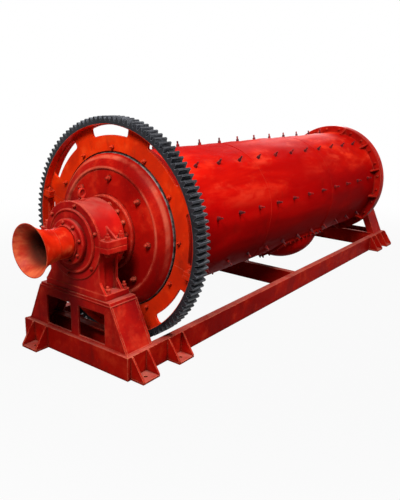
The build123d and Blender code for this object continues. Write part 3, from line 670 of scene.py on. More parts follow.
def fastener_tree():
    """Washer, hexagon with a chamfered top and stud end, set on each point."""
    layout = Layout("fastener_tree", [
        ("Across flats", "NodeSocketFloat"),
        ("Head height", "NodeSocketFloat"),
        ("Washer radius", "NodeSocketFloat"),
        ("Washer thickness", "NodeSocketFloat"),
        ("Stud radius", "NodeSocketFloat"),
        ("Stud length", "NodeSocketFloat"),
        ("Seed", "NodeSocketInt"),
        ("Finish", "NodeSocketMaterial"),
    ])
    corner = layout.maths("MULTIPLY", layout.given("Across flats"), CORNER_PER_FLAT)
    crown = layout.maths("MULTIPLY", corner, CROWN_SHARE)
    washer, washer_top = layout.given("Washer radius"), layout.given("Washer thickness")
    stud, reach = layout.given("Stud radius"), layout.given("Stud length")
    prism = layout.maths("MULTIPLY", layout.given("Head height"), PRISM_SHARE)
    chamfer = layout.maths("MULTIPLY", layout.given("Head height"), 1 - PRISM_SHARE)
    shoulder = layout.maths("ADD", washer_top, prism)
    head_top = layout.maths("ADD", washer_top, layout.given("Head height"))
    tip = layout.maths("MULTIPLY", stud, TIP_LENGTH)
    tip_radius = layout.maths("MULTIPLY", stud, TIP_RADIUS)
    stud_top = layout.maths("ADD", head_top, reach)
    shapes = [
        layout.plug_of(16, washer, washer, 0.0, washer_top),
        layout.plug_of(6, corner, corner, washer_top, prism),
        layout.plug_of(6, corner, crown, shoulder, chamfer),
        layout.plug_of(10, stud, stud, head_top, reach),
        layout.plug_of(10, stud, tip_radius, stud_top, tip),
    ]
    fastener = layout.node("GeometryNodeJoinGeometry", values={0: shapes})
    out = layout.node(
        "GeometryNodeInputNamedAttribute", {"data_type": "FLOAT_VECTOR"}, {"Name": "out"}
    )
    facing = layout.node(
        "FunctionNodeAlignRotationToVector", {"axis": "Z"}, {"Vector": out}
    )
    turn = layout.node(
        "FunctionNodeRandomValue", {"data_type": "FLOAT"},
        {2: 0.0, 3: pi / 3, "Seed": layout.given("Seed")}, 1,
    )
    spin = layout.node(
        "FunctionNodeAxisAngleToRotation", values={"Axis": (0.0, 0.0, 1.0), "Angle": turn}
    )
    turned = layout.node(
        "FunctionNodeRotateRotation", {"rotation_space": "LOCAL"},
        {"Rotation": facing, "Rotate By": spin},
    )
    placed = layout.node(
        "GeometryNodeInstanceOnPoints",
        values={"Points": layout.given("Geometry"), "Instance": fastener, "Rotation": turned},
    )
    return layout.finished(placed)


def run_tree(piece, tree, settings):
    """Runs a tree on a piece and leaves the result as a plain mesh."""
    modifier = piece.modifiers.new(tree.name, "NODES")
    modifier.node_group = tree
    for entry in tree.interface.items_tree:
        if entry.in_out == "INPUT" and entry.name in settings:
            modifier[entry.identifier] = settings[entry.name]
    depsgraph = bpy.context.evaluated_depsgraph_get()
    mesh = bpy.data.meshes.new_from_object(piece.evaluated_get(depsgraph))
    piece.modifiers.clear()
    piece.data = mesh
    mesh.name = piece.name


def put(name, mesh):
    """Sets a mesh in the scene as an object, unturned and at the origin."""
    piece = bpy.data.objects.new(name, mesh)
    bpy.context.scene.collection.objects.link(piece)
    return piece


FASTENERS = fastener_tree()
print("fastener tree:", len(FASTENERS.nodes), "nodes")

# %% [markdown]
# ## Sizes of the fasteners
# The sizes follow what a fitter would take: the spanner size, the height of the head, the
# washer and how much stud sticks out. The liner bolts of the drum are the long ones, because
# they go through a plate, the shell and the lining, and their ends stay proud. A list of
# points, each with the direction that its bolt faces, says where one size goes.

# %% Fastener sizes and the fitting function
Bolt = namedtuple("Bolt", "flats head washer thickness stud reach")
LINER_BOLT = Bolt(0.021, 0.016, 0.0135, 0.004, 0.0065, 0.020)
WEB_BOLT = Bolt(0.020, 0.012, 0.013, 0.003, 0.0065, 0.010)
HEAD_BOLT = Bolt(0.028, 0.016, 0.018, 0.004, 0.0090, 0.012)
FLANGE_BOLT = Bolt(0.019, 0.010, 0.012, 0.0025, 0.0060, 0.004)
TRUNNION_BOLT = Bolt(0.024, 0.014, 0.016, 0.003, 0.0080, 0.005)
CAP_BOLT = Bolt(0.030, 0.020, 0.018, 0.004, 0.0095, 0.012)
CAP_HEAD = Bolt(0.030, 0.018, 0.017, 0.003, 0.0095, 0.001)
COVER_BOLT = Bolt(0.017, 0.010, 0.011, 0.002, 0.0050, 0.003)
BASE_STUD = Bolt(0.028, 0.020, 0.018, 0.005, 0.0090, 0.012)
PLATE_BOLT = Bolt(0.020, 0.012, 0.013, 0.003, 0.0065, 0.006)
MANHOLE_BOLT = Bolt(0.014, 0.009, 0.009, 0.002, 0.0045, 0.004)


def fit(name, places, bolt, finish, body):
    """Sets one size of fastener on a list of (point, direction) places."""
    mesh = bpy.data.meshes.new(name)
    mesh.from_pydata([point for point, _ in places], [], [])
    out = mesh.attributes.new("out", "FLOAT_VECTOR", "POINT")
    for entry, (_, direction) in zip(out.data, places):
        entry.vector = direction
    piece = put(name, mesh)
    run_tree(piece, FASTENERS, {
        "Across flats": bolt.flats,
        "Head height": bolt.head,
        "Washer radius": bolt.washer,
        "Washer thickness": bolt.thickness,
        "Stud radius": bolt.stud,
        "Stud length": bolt.reach,
        "Seed": len(name),
        "Finish": finish,
    })
    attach(piece, body)
    print(f"{name}: {len(places)} fasteners, {len(piece.data.polygons)} faces")


print("largest spanner:", max(LINER_BOLT.flats, CAP_BOLT.flats), "m")

# %% [markdown]
# ## Where the plate of the drum really runs
# Three metres of plate, rolled by hand and pulled in by its liner bolts, is never a true
# cylinder. Between two rows of bolts it is a little flatter than round, along a row it is
# drawn in, and each bolt sits in a dimple. Slow noise pushes the rest in and out by a few
# millimetres. At the flanges and round the manhole it comes back to the true radius. Bolts,
# seams and skin all ask the same function, so that nothing floats above a dent.

# %% The dented surface
LINER_PITCH = 0.250
LINER_ROWS = 8
LINER_STEPS = 12
LINER_FIRST_ANGLE = 9.0
LINER_START = -1.450
FACET_DEPTH = 0.0060
DENT_DEPTH = 0.0075
DIMPLE_DEPTH = 0.0080
DIMPLE_REACH = 0.055
ROW_DEPTH = 0.0045
ROW_REACH = 0.038
DEEPEST = -0.0105
HIGHEST = 0.0012
ROW_GAP = 360 / LINER_ROWS
PAD_HALF_LENGTH = 0.440
PAD_HALF_WIDTH = 0.160
HELD_AT_END = 0.05
END_RAMP = 0.20
HELD_AT_PAD = 0.01
PAD_RAMP = 0.12


def apart(angle, other):
    """Signed difference of two angles, within half a turn."""
    return (angle - other + 180) % 360 - 180


def freedom(x, angle):
    """0 where the plate is held true, at its ends and under the manhole, and 1 elsewhere."""
    from_end = min(x - FEED_JOINT_X, FAR_JOINT_X - x)
    along = max(abs(x - MANHOLE_X) - PAD_HALF_LENGTH, 0.0)
    across = max(abs(radians(apart(angle, MANHOLE_ANGLE))) * SHELL_RADIUS - PAD_HALF_WIDTH, 0.0)
    from_pad = hypot(along, across)
    free = min((from_end - HELD_AT_END) / END_RAMP, (from_pad - HELD_AT_PAD) / PAD_RAMP)
    return min(1.0, max(0.0, free))


def skin_offset(x, angle):
    """How far the plate stands off the true radius at a place."""
    point = round_shaft(x, 1.0, angle)
    slow = noise.noise(Vector((x * 1.3, point.y * 2.6, point.z * 2.6)))
    quick = noise.noise(Vector((x * 3.0 + 7.0, point.y * 6.0, point.z * 6.0)))
    off_row = apart((angle - LINER_FIRST_ANGLE) % ROW_GAP, ROW_GAP / 2) / (ROW_GAP / 2)
    flatness = 0.75 + 0.5 * noise.noise(Vector((x * 1.7, point.y, 3.0 + point.z)))
    push = DENT_DEPTH * (slow + 0.4 * quick - 0.2)
    push -= FACET_DEPTH * flatness * (1 - off_row * off_row)
    row_distance = radians((1 - abs(off_row)) * ROW_GAP / 2) * SHELL_RADIUS
    uneven = 0.7 + noise.noise(Vector((x * 4.0, point.y * 2.0, 9.0)))
    push -= ROW_DEPTH * uneven * exp(-((row_distance / ROW_REACH) ** 2))
    step = min(LINER_STEPS - 1, max(0, round((x - LINER_START) / LINER_PITCH)))
    gap = hypot(x - LINER_START - step * LINER_PITCH, row_distance)
    pull = exp(-((gap / DIMPLE_REACH) ** 2))
    push = push * (1 - pull) - DIMPLE_DEPTH * pull
    return max(DEEPEST, min(push, HIGHEST)) * freedom(x, angle)


def on_skin(x, angle, lift=0.0):
    """Point on the dented plate, or a little off it."""
    return round_shaft(x, SHELL_RADIUS + skin_offset(x, angle) + lift, angle)


print("plate in the middle of the front:", round(skin_offset(0.0, 0.0), 4), "m off true")

# %% [markdown]
# ## Liner bolts
# Eight rows of long bolts run the length of the drum and hold the lining plates inside. They
# sit on the dented plate and point straight out from the shaft. Two loops over rows and
# steps write the whole pattern.

# %% Liner bolts of the drum
WASHER_SUNK = -0.001
liner_places = []
for row in range(LINER_ROWS):
    angle = LINER_FIRST_ANGLE + row * 360 / LINER_ROWS
    for step in range(LINER_STEPS):
        place = on_skin(LINER_START + step * LINER_PITCH, angle, WASHER_SUNK)
        liner_places.append((place, spoke(angle)))
fit("liner_bolts", liner_places, LINER_BOLT, stud_iron, "drum")

# %% [markdown]
# ## Circles of bolts
# The gear disc, the joints of the shell, the heads and the trunnions are each held by their
# own circle of bolts. A circle is three numbers: its radius, how many bolts stand on it and
# the angle of the first one. Those on the feed side of a joint face the feed end.

# %% Circles of bolts on the gear, the heads and the joints
Circle = namedtuple("Circle", "radius count first")
WEB_CIRCLE = Circle(0.504, 12, 1)
FAR_CIRCLE = Circle(0.506, 24, 8.5)
HEAD_CIRCLE = Circle(0.330, 8, -4)
TRUNNION_CIRCLE = Circle(0.190, 16, 6)
HEAD_BOLT_X = 0.1235
TRUNNION_FACE = 0.157


def ring(x, circle, out):
    """Places on a circle round the shaft, all facing one way."""
    angles = [circle.first + 360 * k / circle.count for k in range(circle.count)]
    return [(round_shaft(x, circle.radius, angle), out) for angle in angles]


fit(
    "gear_web_bolts", ring(WEB_FACE_X, WEB_CIRCLE, TOWARDS_FEED), WEB_BOLT,
    gear_iron, "drum",
)
fit(
    "feed_flange_nuts", ring(FEED_JOINT_X + FLANGE_THICKNESS, WEB_CIRCLE, TOWARDS_FAR),
    FLANGE_BOLT, drum_paint, "drum",
)
far_joint = ring(FAR_JOINT_X - FLANGE_THICKNESS, FAR_CIRCLE, TOWARDS_FEED)
far_joint += ring(FAR_JOINT_X + FLANGE_THICKNESS, FAR_CIRCLE, TOWARDS_FAR)
fit("far_flange_bolts", far_joint, FLANGE_BOLT, drum_paint, "drum")
for end, joint, out in (("feed", FEED_JOINT_X, TOWARDS_FEED), ("far", FAR_JOINT_X, TOWARDS_FAR)):
    fit(
        f"head_bolts_{end}", ring(joint + HEAD_BOLT_X * out.x, HEAD_CIRCLE, out), HEAD_BOLT,
        head_paint, "drum",
    )
    fit(
        f"trunnion_bolts_{end}", ring(joint + TRUNNION_FACE * out.x, TRUNNION_CIRCLE, out),
        TRUNNION_BOLT, head_paint, "drum",
    )

# %% [markdown]
# ## Bolts that clamp the gear
# A girth gear comes in two halves, so that it can be changed without taking the drum out of
# its bearings. At each split two bolts go through a pair of lugs. They lie across the split,
# so each place is marked out from the middle of the lug both ways.

# %% Bolts that clamp the two halves of the gear
LUG_HALF = 0.022
LUG_RADIUS = 0.612
LUG_BOLTS = (0.024, 0.084)
lug_places = []
for angle in (SPLIT_ANGLE, SPLIT_ANGLE + 180):
    along = spoke(angle + 90)
    for offset in LUG_BOLTS:
        middle = round_shaft(GEAR_FACE_X + offset, LUG_RADIUS, angle)
        lug_places += [(middle + LUG_HALF * along, along), (middle - LUG_HALF * along, -along)]
fit("gear_joint_bolts", lug_places, PLATE_BOLT, gear_iron, "drum")

# %% [markdown]
# ## The manhole
# The cover on the belly of the drum is a long oval plate, rolled to the curve of the shell,
# with a pressed dome. Its bolts follow the edge of the oval, so their places are walked off
# along two straights and two half circles, and then wrapped round the shaft.

# %% Bolts round the manhole cover
COVER_LENGTH = 0.870
COVER_WIDTH = 0.310
COVER_TOP = SHELL_RADIUS + 0.016
BOLT_INSET = 0.010
COVER_BOLTS = 28


def oval_walk(length, width, count):
    """Evenly spaced (along, across) places on an oval with straight sides."""
    bend = width / 2
    straight = length - width
    total = 2 * straight + 2 * pi * bend
    walked = []
    for step in range(count):
        way = total * step / count
        side = 1 if way < total / 2 else -1
        way %= total / 2
        if way < straight:
            walked.append((side * (way - straight / 2), side * bend))
        else:
            turn = (way - straight) / bend
            walked.append((side * (straight / 2 + bend * sin(turn)), side * bend * cos(turn)))
    return walked


manhole_places = []
bolt_oval = (COVER_LENGTH - 2 * BOLT_INSET, COVER_WIDTH - 2 * BOLT_INSET)
for along, across in oval_walk(*bolt_oval, COVER_BOLTS):
    angle = MANHOLE_ANGLE + degrees(asin(across / COVER_TOP))
    manhole_places.append((round_shaft(MANHOLE_X + along, COVER_TOP, angle), spoke(angle)))
fit("manhole_bolts", manhole_places, MANHOLE_BOLT, drum_paint, "drum")

# %% [markdown]
# ## Bolts on the bearings
# Each bearing is a base and a cap held by four heavy bolts through its ears, a ring of
# small screws in its face, eight more in the gland, and four studs that hold it down on
# its stand. Both ends are the same, mirrored, so one function does both.

# %% Both bearings
EAR_TOP = 0.038
EAR_BOTTOM = 0.032
BASE_FLANGE_TOP = 0.412 + 0.035
UP = Vector((0.0, 0.0, 1.0))
EAR_BOLTS = (0.256, (0.069, -0.032))
FOOT_BOLTS = (0.233, (0.055, -0.074))
FACE_CIRCLE = Circle(0.207, 6, 20)
GLAND_CIRCLE = Circle(0.112, 8, 12)
FACE_X = 0.100
GLAND_X = 0.138


def both_sides(centre, side, pattern, height, way):
    """Four places, two in front of the shaft and two behind it."""
    sideways, offsets = pattern
    places = [(centre + side * offset, y) for y in (-sideways, sideways) for offset in offsets]
    return [(Vector((x, y, height)), way) for x, y in places]


def bearing_bolts(end, side):
    """All fasteners of one bearing. Side is -1 at the feed end and 1 at the other."""
    centre = side * BEARING_X
    out = Vector((side, 0.0, 0.0))
    caps = both_sides(centre, side, EAR_BOLTS, SHAFT_HEIGHT + EAR_TOP, UP)
    heads = both_sides(centre, side, EAR_BOLTS, SHAFT_HEIGHT - EAR_BOTTOM, -UP)
    fit(f"cap_nuts_{end}", caps, CAP_BOLT, bearing_paint, "base")
    fit(f"cap_bolt_heads_{end}", heads, CAP_HEAD, bearing_paint, "base")
    face = ring(centre + side * FACE_X, FACE_CIRCLE, out)
    face += ring(centre + side * GLAND_X, GLAND_CIRCLE, out)
    fit(f"face_bolts_{end}", face, COVER_BOLT, bearing_paint, "base")
    studs = both_sides(centre, side, FOOT_BOLTS, BASE_FLANGE_TOP, UP)
    fit(f"base_studs_{end}", studs, BASE_STUD, bearing_paint, "base")


bearing_bolts("feed", -1)
bearing_bolts("far", 1)

# %% [markdown]
# ## Eyebolts
# A bearing cap is too heavy to lift by hand, so a forged eyebolt is screwed into its top. It
# is a ring on a collar. Blender's own torus would do for the ring, but it would have to be
# moved and turned afterwards. Here both are worked out as rounds of points in their final
# place, and neighbouring rounds are joined by faces.

# %% One eyebolt on each cap
EYE_RADIUS = 0.024
EYE_WIRE = 0.007
EYE_TOP = 0.070
EYE_TURN = 5.0
EYE_STEP = 0.015
COLLAR = ((-0.004, 0.017), (0.007, 0.017), (0.010, 0.012), (0.022, 0.008))
CAP_TOP = SHAFT_HEIGHT + 0.222
EYE_SIDES = 24
WIRE_SIDES = 10
EYE_EDGE = radians(35)


def joined(first, rounds, sides, closed):
    """Faces between neighbouring rounds of points. A closed row meets its own start."""
    faces = []
    for i in range(rounds if closed else rounds - 1):
        low, high = first + i * sides, first + (i + 1) % rounds * sides
        for j in range(sides):
            k = (j + 1) % sides
            faces.append((low + j, high + j, high + k, low + k))
    return faces


def eyebolt(end, side):
    """Forged ring on a turned collar, left as it came to rest when screwed home."""
    foot = Vector((side * (BEARING_X + EYE_STEP), 0.0, CAP_TOP))
    along = Vector((cos(radians(EYE_TURN)), sin(radians(EYE_TURN)), 0.0))
    across = Vector((-along.y, along.x, 0.0))
    eye = foot + (EYE_TOP - EYE_RADIUS - EYE_WIRE) * UP
    points = []
    for i in range(EYE_SIDES):
        turn = 2 * pi * i / EYE_SIDES
        away = along * cos(turn) + UP * sin(turn)
        for j in range(WIRE_SIDES):
            roll = 2 * pi * j / WIRE_SIDES
            reach = EYE_RADIUS + EYE_WIRE * cos(roll)
            points.append(eye + reach * away + across * (EYE_WIRE * sin(roll)))
    first = len(points)
    for height, radius in COLLAR:
        for i in range(EYE_SIDES):
            turn = 2 * pi * i / EYE_SIDES
            points.append(foot + Vector((radius * cos(turn), radius * sin(turn), height)))
    last = len(points) - EYE_SIDES
    faces = joined(0, EYE_SIDES, WIRE_SIDES, True)
    faces += joined(first, len(COLLAR), EYE_SIDES, False)
    faces += [tuple(range(last, last + EYE_SIDES)), tuple(range(first, first + EYE_SIDES))]
    mesh = bpy.data.meshes.new(f"eyebolt_{end}")
    mesh.from_pydata(points, [], faces)
    mesh.materials.append(bearing_paint)
    outward = bmesh.new()
    outward.from_mesh(mesh)
    bmesh.ops.recalc_face_normals(outward, faces=outward.faces)
    outward.to_mesh(mesh)
    outward.free()
    mesh.shade_smooth()
    mesh.set_sharp_from_angle(angle=EYE_EDGE)
    piece = put(f"eyebolt_{end}", mesh)
    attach(piece, "base")
    print(piece.name, "top at", round(CAP_TOP + EYE_TOP, 3))


eyebolt("feed", -1)
eyebolt("far", 1)

# %% [markdown]
# ## The rolled skin of the drum
# The plate itself is now rebuilt as a fine grid round the shaft that follows the dented
# surface worked out above, and is closed by its smooth inner wall. Sculpting or a displace
# modifier could dent a tube too, but then bolts and seams wouldn't know where the plate is.
# The skin stands for the plain shell of the frame.

# %% The drum skin
SKIN_AROUND = 192
SKIN_ALONG = 150
SHELL_WALL = 0.012
SKIN_EDGE = radians(40)


def drum_skin():
    """Grid of the outer plate, closed by its inner wall."""
    angles = [360 * j / SKIN_AROUND for j in range(SKIN_AROUND)]
    points = []
    for i in range(SKIN_ALONG + 1):
        x = FEED_JOINT_X + (FAR_JOINT_X - FEED_JOINT_X) * i / SKIN_ALONG
        points += [on_skin(x, angle) for angle in angles]
    for x in (FAR_JOINT_X, FEED_JOINT_X):
        points += [round_shaft(x, SHELL_RADIUS - SHELL_WALL, angle) for angle in angles]
    mesh = bpy.data.meshes.new("drum_skin")
    mesh.from_pydata(points, [], joined(0, SKIN_ALONG + 3, SKIN_AROUND, True))
    mesh.materials.append(drum_paint)
    mesh.shade_smooth()
    mesh.set_sharp_from_angle(angle=SKIN_EDGE)
    return put("drum_skin", mesh)


skin = drum_skin()
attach(skin, "drum")
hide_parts("drum_shell")
print("drum skin:", len(skin.data.polygons), "faces")

# %% [markdown]
# ## Weld beads
# The stands, the frame and the drum are welded, and a joint without its bead looks like
# two toys laid together. Each seam is a path of straight or round runs. A second tree
# walks the path, sweeps a small round along it and roughens it, so that the bead looks laid
# by hand. Seams under the same paint go through it together.


# %% A tree that lays weld beads
def bead_tree():
    """Sweeps an uneven round along every run of a wire mesh."""
    layout = Layout("bead_tree", [
        ("Bead radius", "NodeSocketFloat"),
        ("Step", "NodeSocketFloat"),
        ("Roughness", "NodeSocketFloat"),
        ("Finish", "NodeSocketMaterial"),
    ])
    path = layout.node("GeometryNodeMeshToCurve", values={0: layout.given("Geometry")})
    walked = layout.node(
        "GeometryNodeResampleCurve", {"mode": "LENGTH"},
        {"Curve": path, "Length": layout.given("Step")},
    )
    profile = layout.node(
        "GeometryNodeCurvePrimitiveCircle", {"mode": "RADIUS"},
        {"Resolution": 6, "Radius": layout.given("Bead radius")},
    )
    bead = layout.node(
        "GeometryNodeCurveToMesh",
        values={"Curve": walked, "Profile Curve": profile, "Fill Caps": True},
    )
    ripple = layout.node(
        "ShaderNodeTexNoise", {"noise_dimensions": "3D"}, {"Scale": 130.0, "Detail": 1.0}
    )
    amount = layout.maths("SUBTRACT", ripple, 0.5)
    amount = layout.maths("MULTIPLY", amount, layout.given("Roughness"))
    normal = layout.node("GeometryNodeInputNormal")
    push = layout.node(
        "ShaderNodeVectorMath", {"operation": "SCALE"}, {0: normal, "Scale": amount}
    )
    moved = layout.node("GeometryNodeSetPosition", values={"Geometry": bead, "Offset": push})
    smooth = layout.node("GeometryNodeSetShadeSmooth", values={0: moved})
    return layout.finished(smooth)


BEADS = bead_tree()
BEAD_ROUGHNESS = 0.9
BEAD_STEP = 0.005


def weld(name, runs, radius, finish, body, step=BEAD_STEP):
    """Lays beads along runs, each a list of points."""
    points, edges = [], []
    for run in runs:
        first = len(points)
        points += run
        edges += [(first + k, first + k + 1) for k in range(len(run) - 1)]
    mesh = bpy.data.meshes.new(name)
    mesh.from_pydata(points, edges, [])
    piece = put(name, mesh)
    run_tree(piece, BEADS, {
        "Bead radius": radius,
        "Step": step,
        "Roughness": radius * BEAD_ROUGHNESS,
        "Finish": finish,
    })
    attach(piece, body)
    print(f"{name}: {len(runs)} runs, {len(piece.data.polygons)} faces")


print("bead tree:", len(BEADS.nodes), "nodes")

# %% [markdown]
# ## Seams of the drum
# The shell is rolled from three plates, so it has a seam round it between each two, and
# each plate has one seam along it, turned away from the next so that no long line runs
# through. The end rings and the small ribs behind them are welded on as well. The seams of
# the plates lie in its dents, the others on the true radius.

# %% Seams of the drum
PLATE_JOINTS = (-0.545, 0.490)
LONG_SEAMS = ((-1.500, -0.545, 118), (-0.545, 0.490, 198), (0.490, 1.460, 140))
LONG_STEPS = 48
HOOP_STEPS = 96
SEAM_SUNK = -0.0015
RIB_LENGTH = 0.092
RIB_HEIGHT = 0.060
RIB_HALF = 0.007
RIB_COUNT = 12
RIB_FIRST_ANGLE = 16
DRUM_BEAD = 0.0045
DRUM_BEAD_STEP = 0.008
drum_runs = []
for x in PLATE_JOINTS:
    angles = [360 * k / SKIN_AROUND for k in range(SKIN_AROUND + 1)]
    drum_runs.append([on_skin(x, angle, SEAM_SUNK) for angle in angles])
for low, high, angle in LONG_SEAMS:
    stops = [low + (high - low) * k / LONG_STEPS for k in range(LONG_STEPS + 1)]
    drum_runs.append([on_skin(x, angle, SEAM_SUNK) for x in stops])
for joint, side in ((FEED_JOINT_X, 1), (FAR_JOINT_X, -1)):
    x = joint + side * (FLANGE_THICKNESS + 0.001)
    angles = [360 * k / HOOP_STEPS for k in range(HOOP_STEPS + 1)]
    drum_runs.append([round_shaft(x, SHELL_RADIUS, angle) for angle in angles])
for joint, side in ((FEED_JOINT_X, 1), (FAR_JOINT_X, -1)):
    foot = joint + side * FLANGE_THICKNESS
    for k in range(RIB_COUNT):
        for half in (-RIB_HALF, RIB_HALF):
            angle = RIB_FIRST_ANGLE + 360 / RIB_COUNT * k + degrees(half / SHELL_RADIUS)
            drum_runs.append([
                round_shaft(foot + side * RIB_LENGTH, SHELL_RADIUS, angle),
                round_shaft(foot, SHELL_RADIUS, angle),
                round_shaft(foot, SHELL_RADIUS + RIB_HEIGHT, angle),
            ])
weld("drum_seams", drum_runs, DRUM_BEAD, drum_paint, "drum", DRUM_BEAD_STEP)

# %% [markdown]
# ## Seams of the stands and the skid
# A stand is four plates and a top one, welded to the skid along its foot and to each other
# along their edges. The skid itself shows its seams at the four corners. Each run at the
# front has a mirror image at the back, so only one of the two is written.

# %% Seams of the stands and the skid
BEAM_TOP = 0.140
FRAME_END = 2.000
FRAME_SIDE = 0.450
STAND_OUTER = 1.978
STAND_INNER = 1.772
STAND_FOOT = 0.420
STAND_HEAD = 0.294
STAND_TOP = 0.412
STAND_TOP_PLATE = 0.020
STAND_BEAD = 0.0045
FRAME_BEAD = 0.0035
CORNER_LOW = 0.004
CORNER_HIGH = BEAM_TOP - 0.002
MITRE = (0.001, 0.050)


def runs_both_ways(run):
    """A run at the front and its mirror image at the back."""
    return [[Vector(p) for p in run], [Vector((p[0], -p[1], p[2])) for p in run]]


stand_runs = []
stand_top = STAND_TOP - STAND_TOP_PLATE
slope = (STAND_FOOT - STAND_HEAD) / (STAND_TOP - BEAM_TOP)
shoulder = STAND_HEAD + slope * STAND_TOP_PLATE
for side in (-1, 1):
    outer, inner = side * STAND_OUTER, side * STAND_INNER
    for x in (outer, inner):
        stand_runs += [[Vector((x, -STAND_FOOT, BEAM_TOP)), Vector((x, STAND_FOOT, BEAM_TOP))]]
        stand_runs += [[Vector((x, -shoulder, stand_top)), Vector((x, shoulder, stand_top))]]
        stand_runs += runs_both_ways([(x, -STAND_FOOT, BEAM_TOP), (x, -shoulder, stand_top)])
    stand_runs += runs_both_ways([(outer, -STAND_FOOT, BEAM_TOP), (inner, -STAND_FOOT, BEAM_TOP)])
    stand_runs += runs_both_ways([(outer, -shoulder, stand_top), (inner, -shoulder, stand_top)])
weld("stand_seams", stand_runs, STAND_BEAD, stand_paint, "base")

frame_runs = []
for side in (-1, 1):
    corner = side * FRAME_END
    frame_runs += runs_both_ways([(corner, -FRAME_SIDE, z) for z in (CORNER_LOW, CORNER_HIGH)])
    frame_runs += runs_both_ways([
        (corner - side * inset, -FRAME_SIDE + inset, BEAM_TOP) for inset in MITRE
    ])
weld("frame_seams", frame_runs, FRAME_BEAD, frame_paint, "base")

# %% [markdown]
# ## The camera
# The mill was photographed from its front feed corner, a little above the spout. The place,
# the three turns and the lens of the camera were worked out from points whose true place on
# the mill is known. Aiming it by hand would come close, but not onto the same edges.

# %% Camera
CAMERA_PLACE = Vector((-3.979, -2.400, 1.535))
CAMERA_YAW = radians(53.27)
CAMERA_PITCH = radians(15.64)
CAMERA_ROLL = radians(1.39)
CAMERA_LENS = 40.09


def aim_camera():
    """Camera from its yaw, pitch and roll."""
    ahead = Vector((
        sin(CAMERA_YAW) * cos(CAMERA_PITCH),
        cos(CAMERA_YAW) * cos(CAMERA_PITCH),
        -sin(CAMERA_PITCH),
    ))
    level = Vector((cos(CAMERA_YAW), -sin(CAMERA_YAW), 0.0))
    upright = level.cross(ahead)
    right = cos(CAMERA_ROLL) * level + sin(CAMERA_ROLL) * upright
    up = -sin(CAMERA_ROLL) * level + cos(CAMERA_ROLL) * upright
    data = bpy.data.cameras.new("camera")
    data.sensor_width = 36.0
    data.sensor_fit = "AUTO"
    data.lens = CAMERA_LENS
    camera = bpy.data.objects.new("camera", data)
    turned = Matrix((right, up, -ahead)).transposed().to_4x4()
    camera.matrix_world = Matrix.Translation(CAMERA_PLACE) @ turned
    bpy.context.scene.collection.objects.link(camera)
    bpy.context.scene.camera = camera
    return camera


camera = aim_camera()
print("camera at", [round(v, 3) for v in camera.location])

# %% [markdown]
# ## Floor and sky
# A picture for a catalogue stands on white. Turning the light up until everything is white
# would bleach the paint, so the floor and the sky are white only for rays that come from the
# camera or off a shiny surface. For the light that fills the scene both stay dim. The floor
# keeps a faint shadow under the mill, which fades out before the horizon.


# %% Floor and sky
def seen_directly(tree):
    """1 for rays from the camera and for mirror and glass rays, 0 for the light that fills."""
    path = tree.nodes.new("ShaderNodeLightPath")
    total = None
    for label in ("Is Camera Ray", "Is Glossy Ray", "Is Transmission Ray"):
        if total is None:
            total = path.outputs[label]
            continue
        either = tree.nodes.new("ShaderNodeMath")
        either.operation = "MAXIMUM"
        tree.links.new(total, either.inputs[0])
        tree.links.new(path.outputs[label], either.inputs[1])
        total = either.outputs[0]
    return total


FLOOR_FADE_START = 2.0
FLOOR_FADE_END = 4.5
FLOOR_HALF = 30.0
FLOOR_TONE = 0.10
WHITE_SHARE = 0.94
SKY_FILL = 0.12


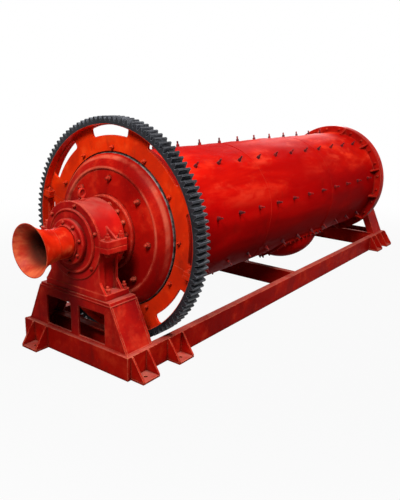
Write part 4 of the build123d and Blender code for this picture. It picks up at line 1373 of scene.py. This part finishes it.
def studio_floor():
    """Pale floor that reads as white and keeps a faint shadow."""
    mesh = bpy.data.meshes.new("studio_floor")
    signs = ((-1, -1), (1, -1), (1, 1), (-1, 1))
    edge_glint = [(FLOOR_HALF * x, FLOOR_HALF * y, 0) for x, y in signs]
    mesh.from_pydata(edge_glint, [], [(0, 1, 2, 3)])
    floor = put("studio_floor", mesh)
    finish = Finish("studio_floor")
    grey = rgb(FLOOR_TONE, FLOOR_TONE, FLOOR_TONE)
    matt = finish.node("ShaderNodeBsdfDiffuse", values={"Color": grey})
    white = finish.node("ShaderNodeEmission", values={"Color": rgb(1, 1, 1), "Strength": 1.0})
    x, y, _ = finish.axes(finish.place())
    away = (x * x + y * y).maths("SQRT").step(FLOOR_FADE_START, FLOOR_FADE_END)
    share = Wire(finish, seen_directly(finish.tree)) * (WHITE_SHARE + away * (1 - WHITE_SHARE))
    mesh.materials.append(finish.out(finish.mixed(share, matt, white)))


def studio_sky(fill):
    """White where it is seen, and a weaker even fill elsewhere."""
    world = bpy.data.worlds.new("studio_sky")
    world.use_nodes = True
    bpy.context.scene.world = world
    tree = world.node_tree
    background = next(n for n in tree.nodes if n.type == "BACKGROUND")
    background.inputs["Color"].default_value = rgb(1, 1, 1)
    spread = tree.nodes.new("ShaderNodeMapRange")
    spread.inputs["To Min"].default_value = fill
    spread.inputs["To Max"].default_value = 1.0
    tree.links.new(seen_directly(tree), spread.inputs["Value"])
    tree.links.new(spread.outputs[0], background.inputs["Strength"])


studio_floor()
studio_sky(SKY_FILL)
print("floor fades out between", FLOOR_FADE_START, "and", FLOOR_FADE_END, "m")

# %% [markdown]
# ## Lamps
# A broad lamp high above the front is the main light, as in the photo, and a second one at
# the feed end lights the faces that look that way. Two more stand behind the mill and
# beyond its far end, so that the back isn't lost in the dark when the mill is looked at from
# there. All are wide, because a small lamp throws hard shadows.


# %% Four lamps
def soft_lamp(name, place, target, size, power):
    """Square area lamp aimed at a point."""
    data = bpy.data.lights.new(name, "AREA")
    data.size = size
    data.energy = power
    lamp = bpy.data.objects.new(name, data)
    lamp.location = place
    lamp.rotation_euler = (Vector(target) - Vector(place)).to_track_quat("-Z", "Y").to_euler()
    bpy.context.scene.collection.objects.link(lamp)


soft_lamp("key_lamp", (-1.0, -3.0, 5.5), (0.0, 0.0, 0.7), 1.8, 355)
soft_lamp("feed_lamp", (-4.9, -1.4, 4.6), (-1.8, 0.0, 0.7), 1.5, 262)
soft_lamp("back_lamp", (0.8, 5.2, 3.2), (0.2, 0.0, 0.6), 3.0, 200)
soft_lamp("far_lamp", (4.6, 1.8, 2.2), (2.0, 0.0, 0.75), 1.6, 90)
bpy.context.scene.view_settings.view_transform = "Standard"

# Looking at the picture alone wouldn't show a bolt that sticks out.
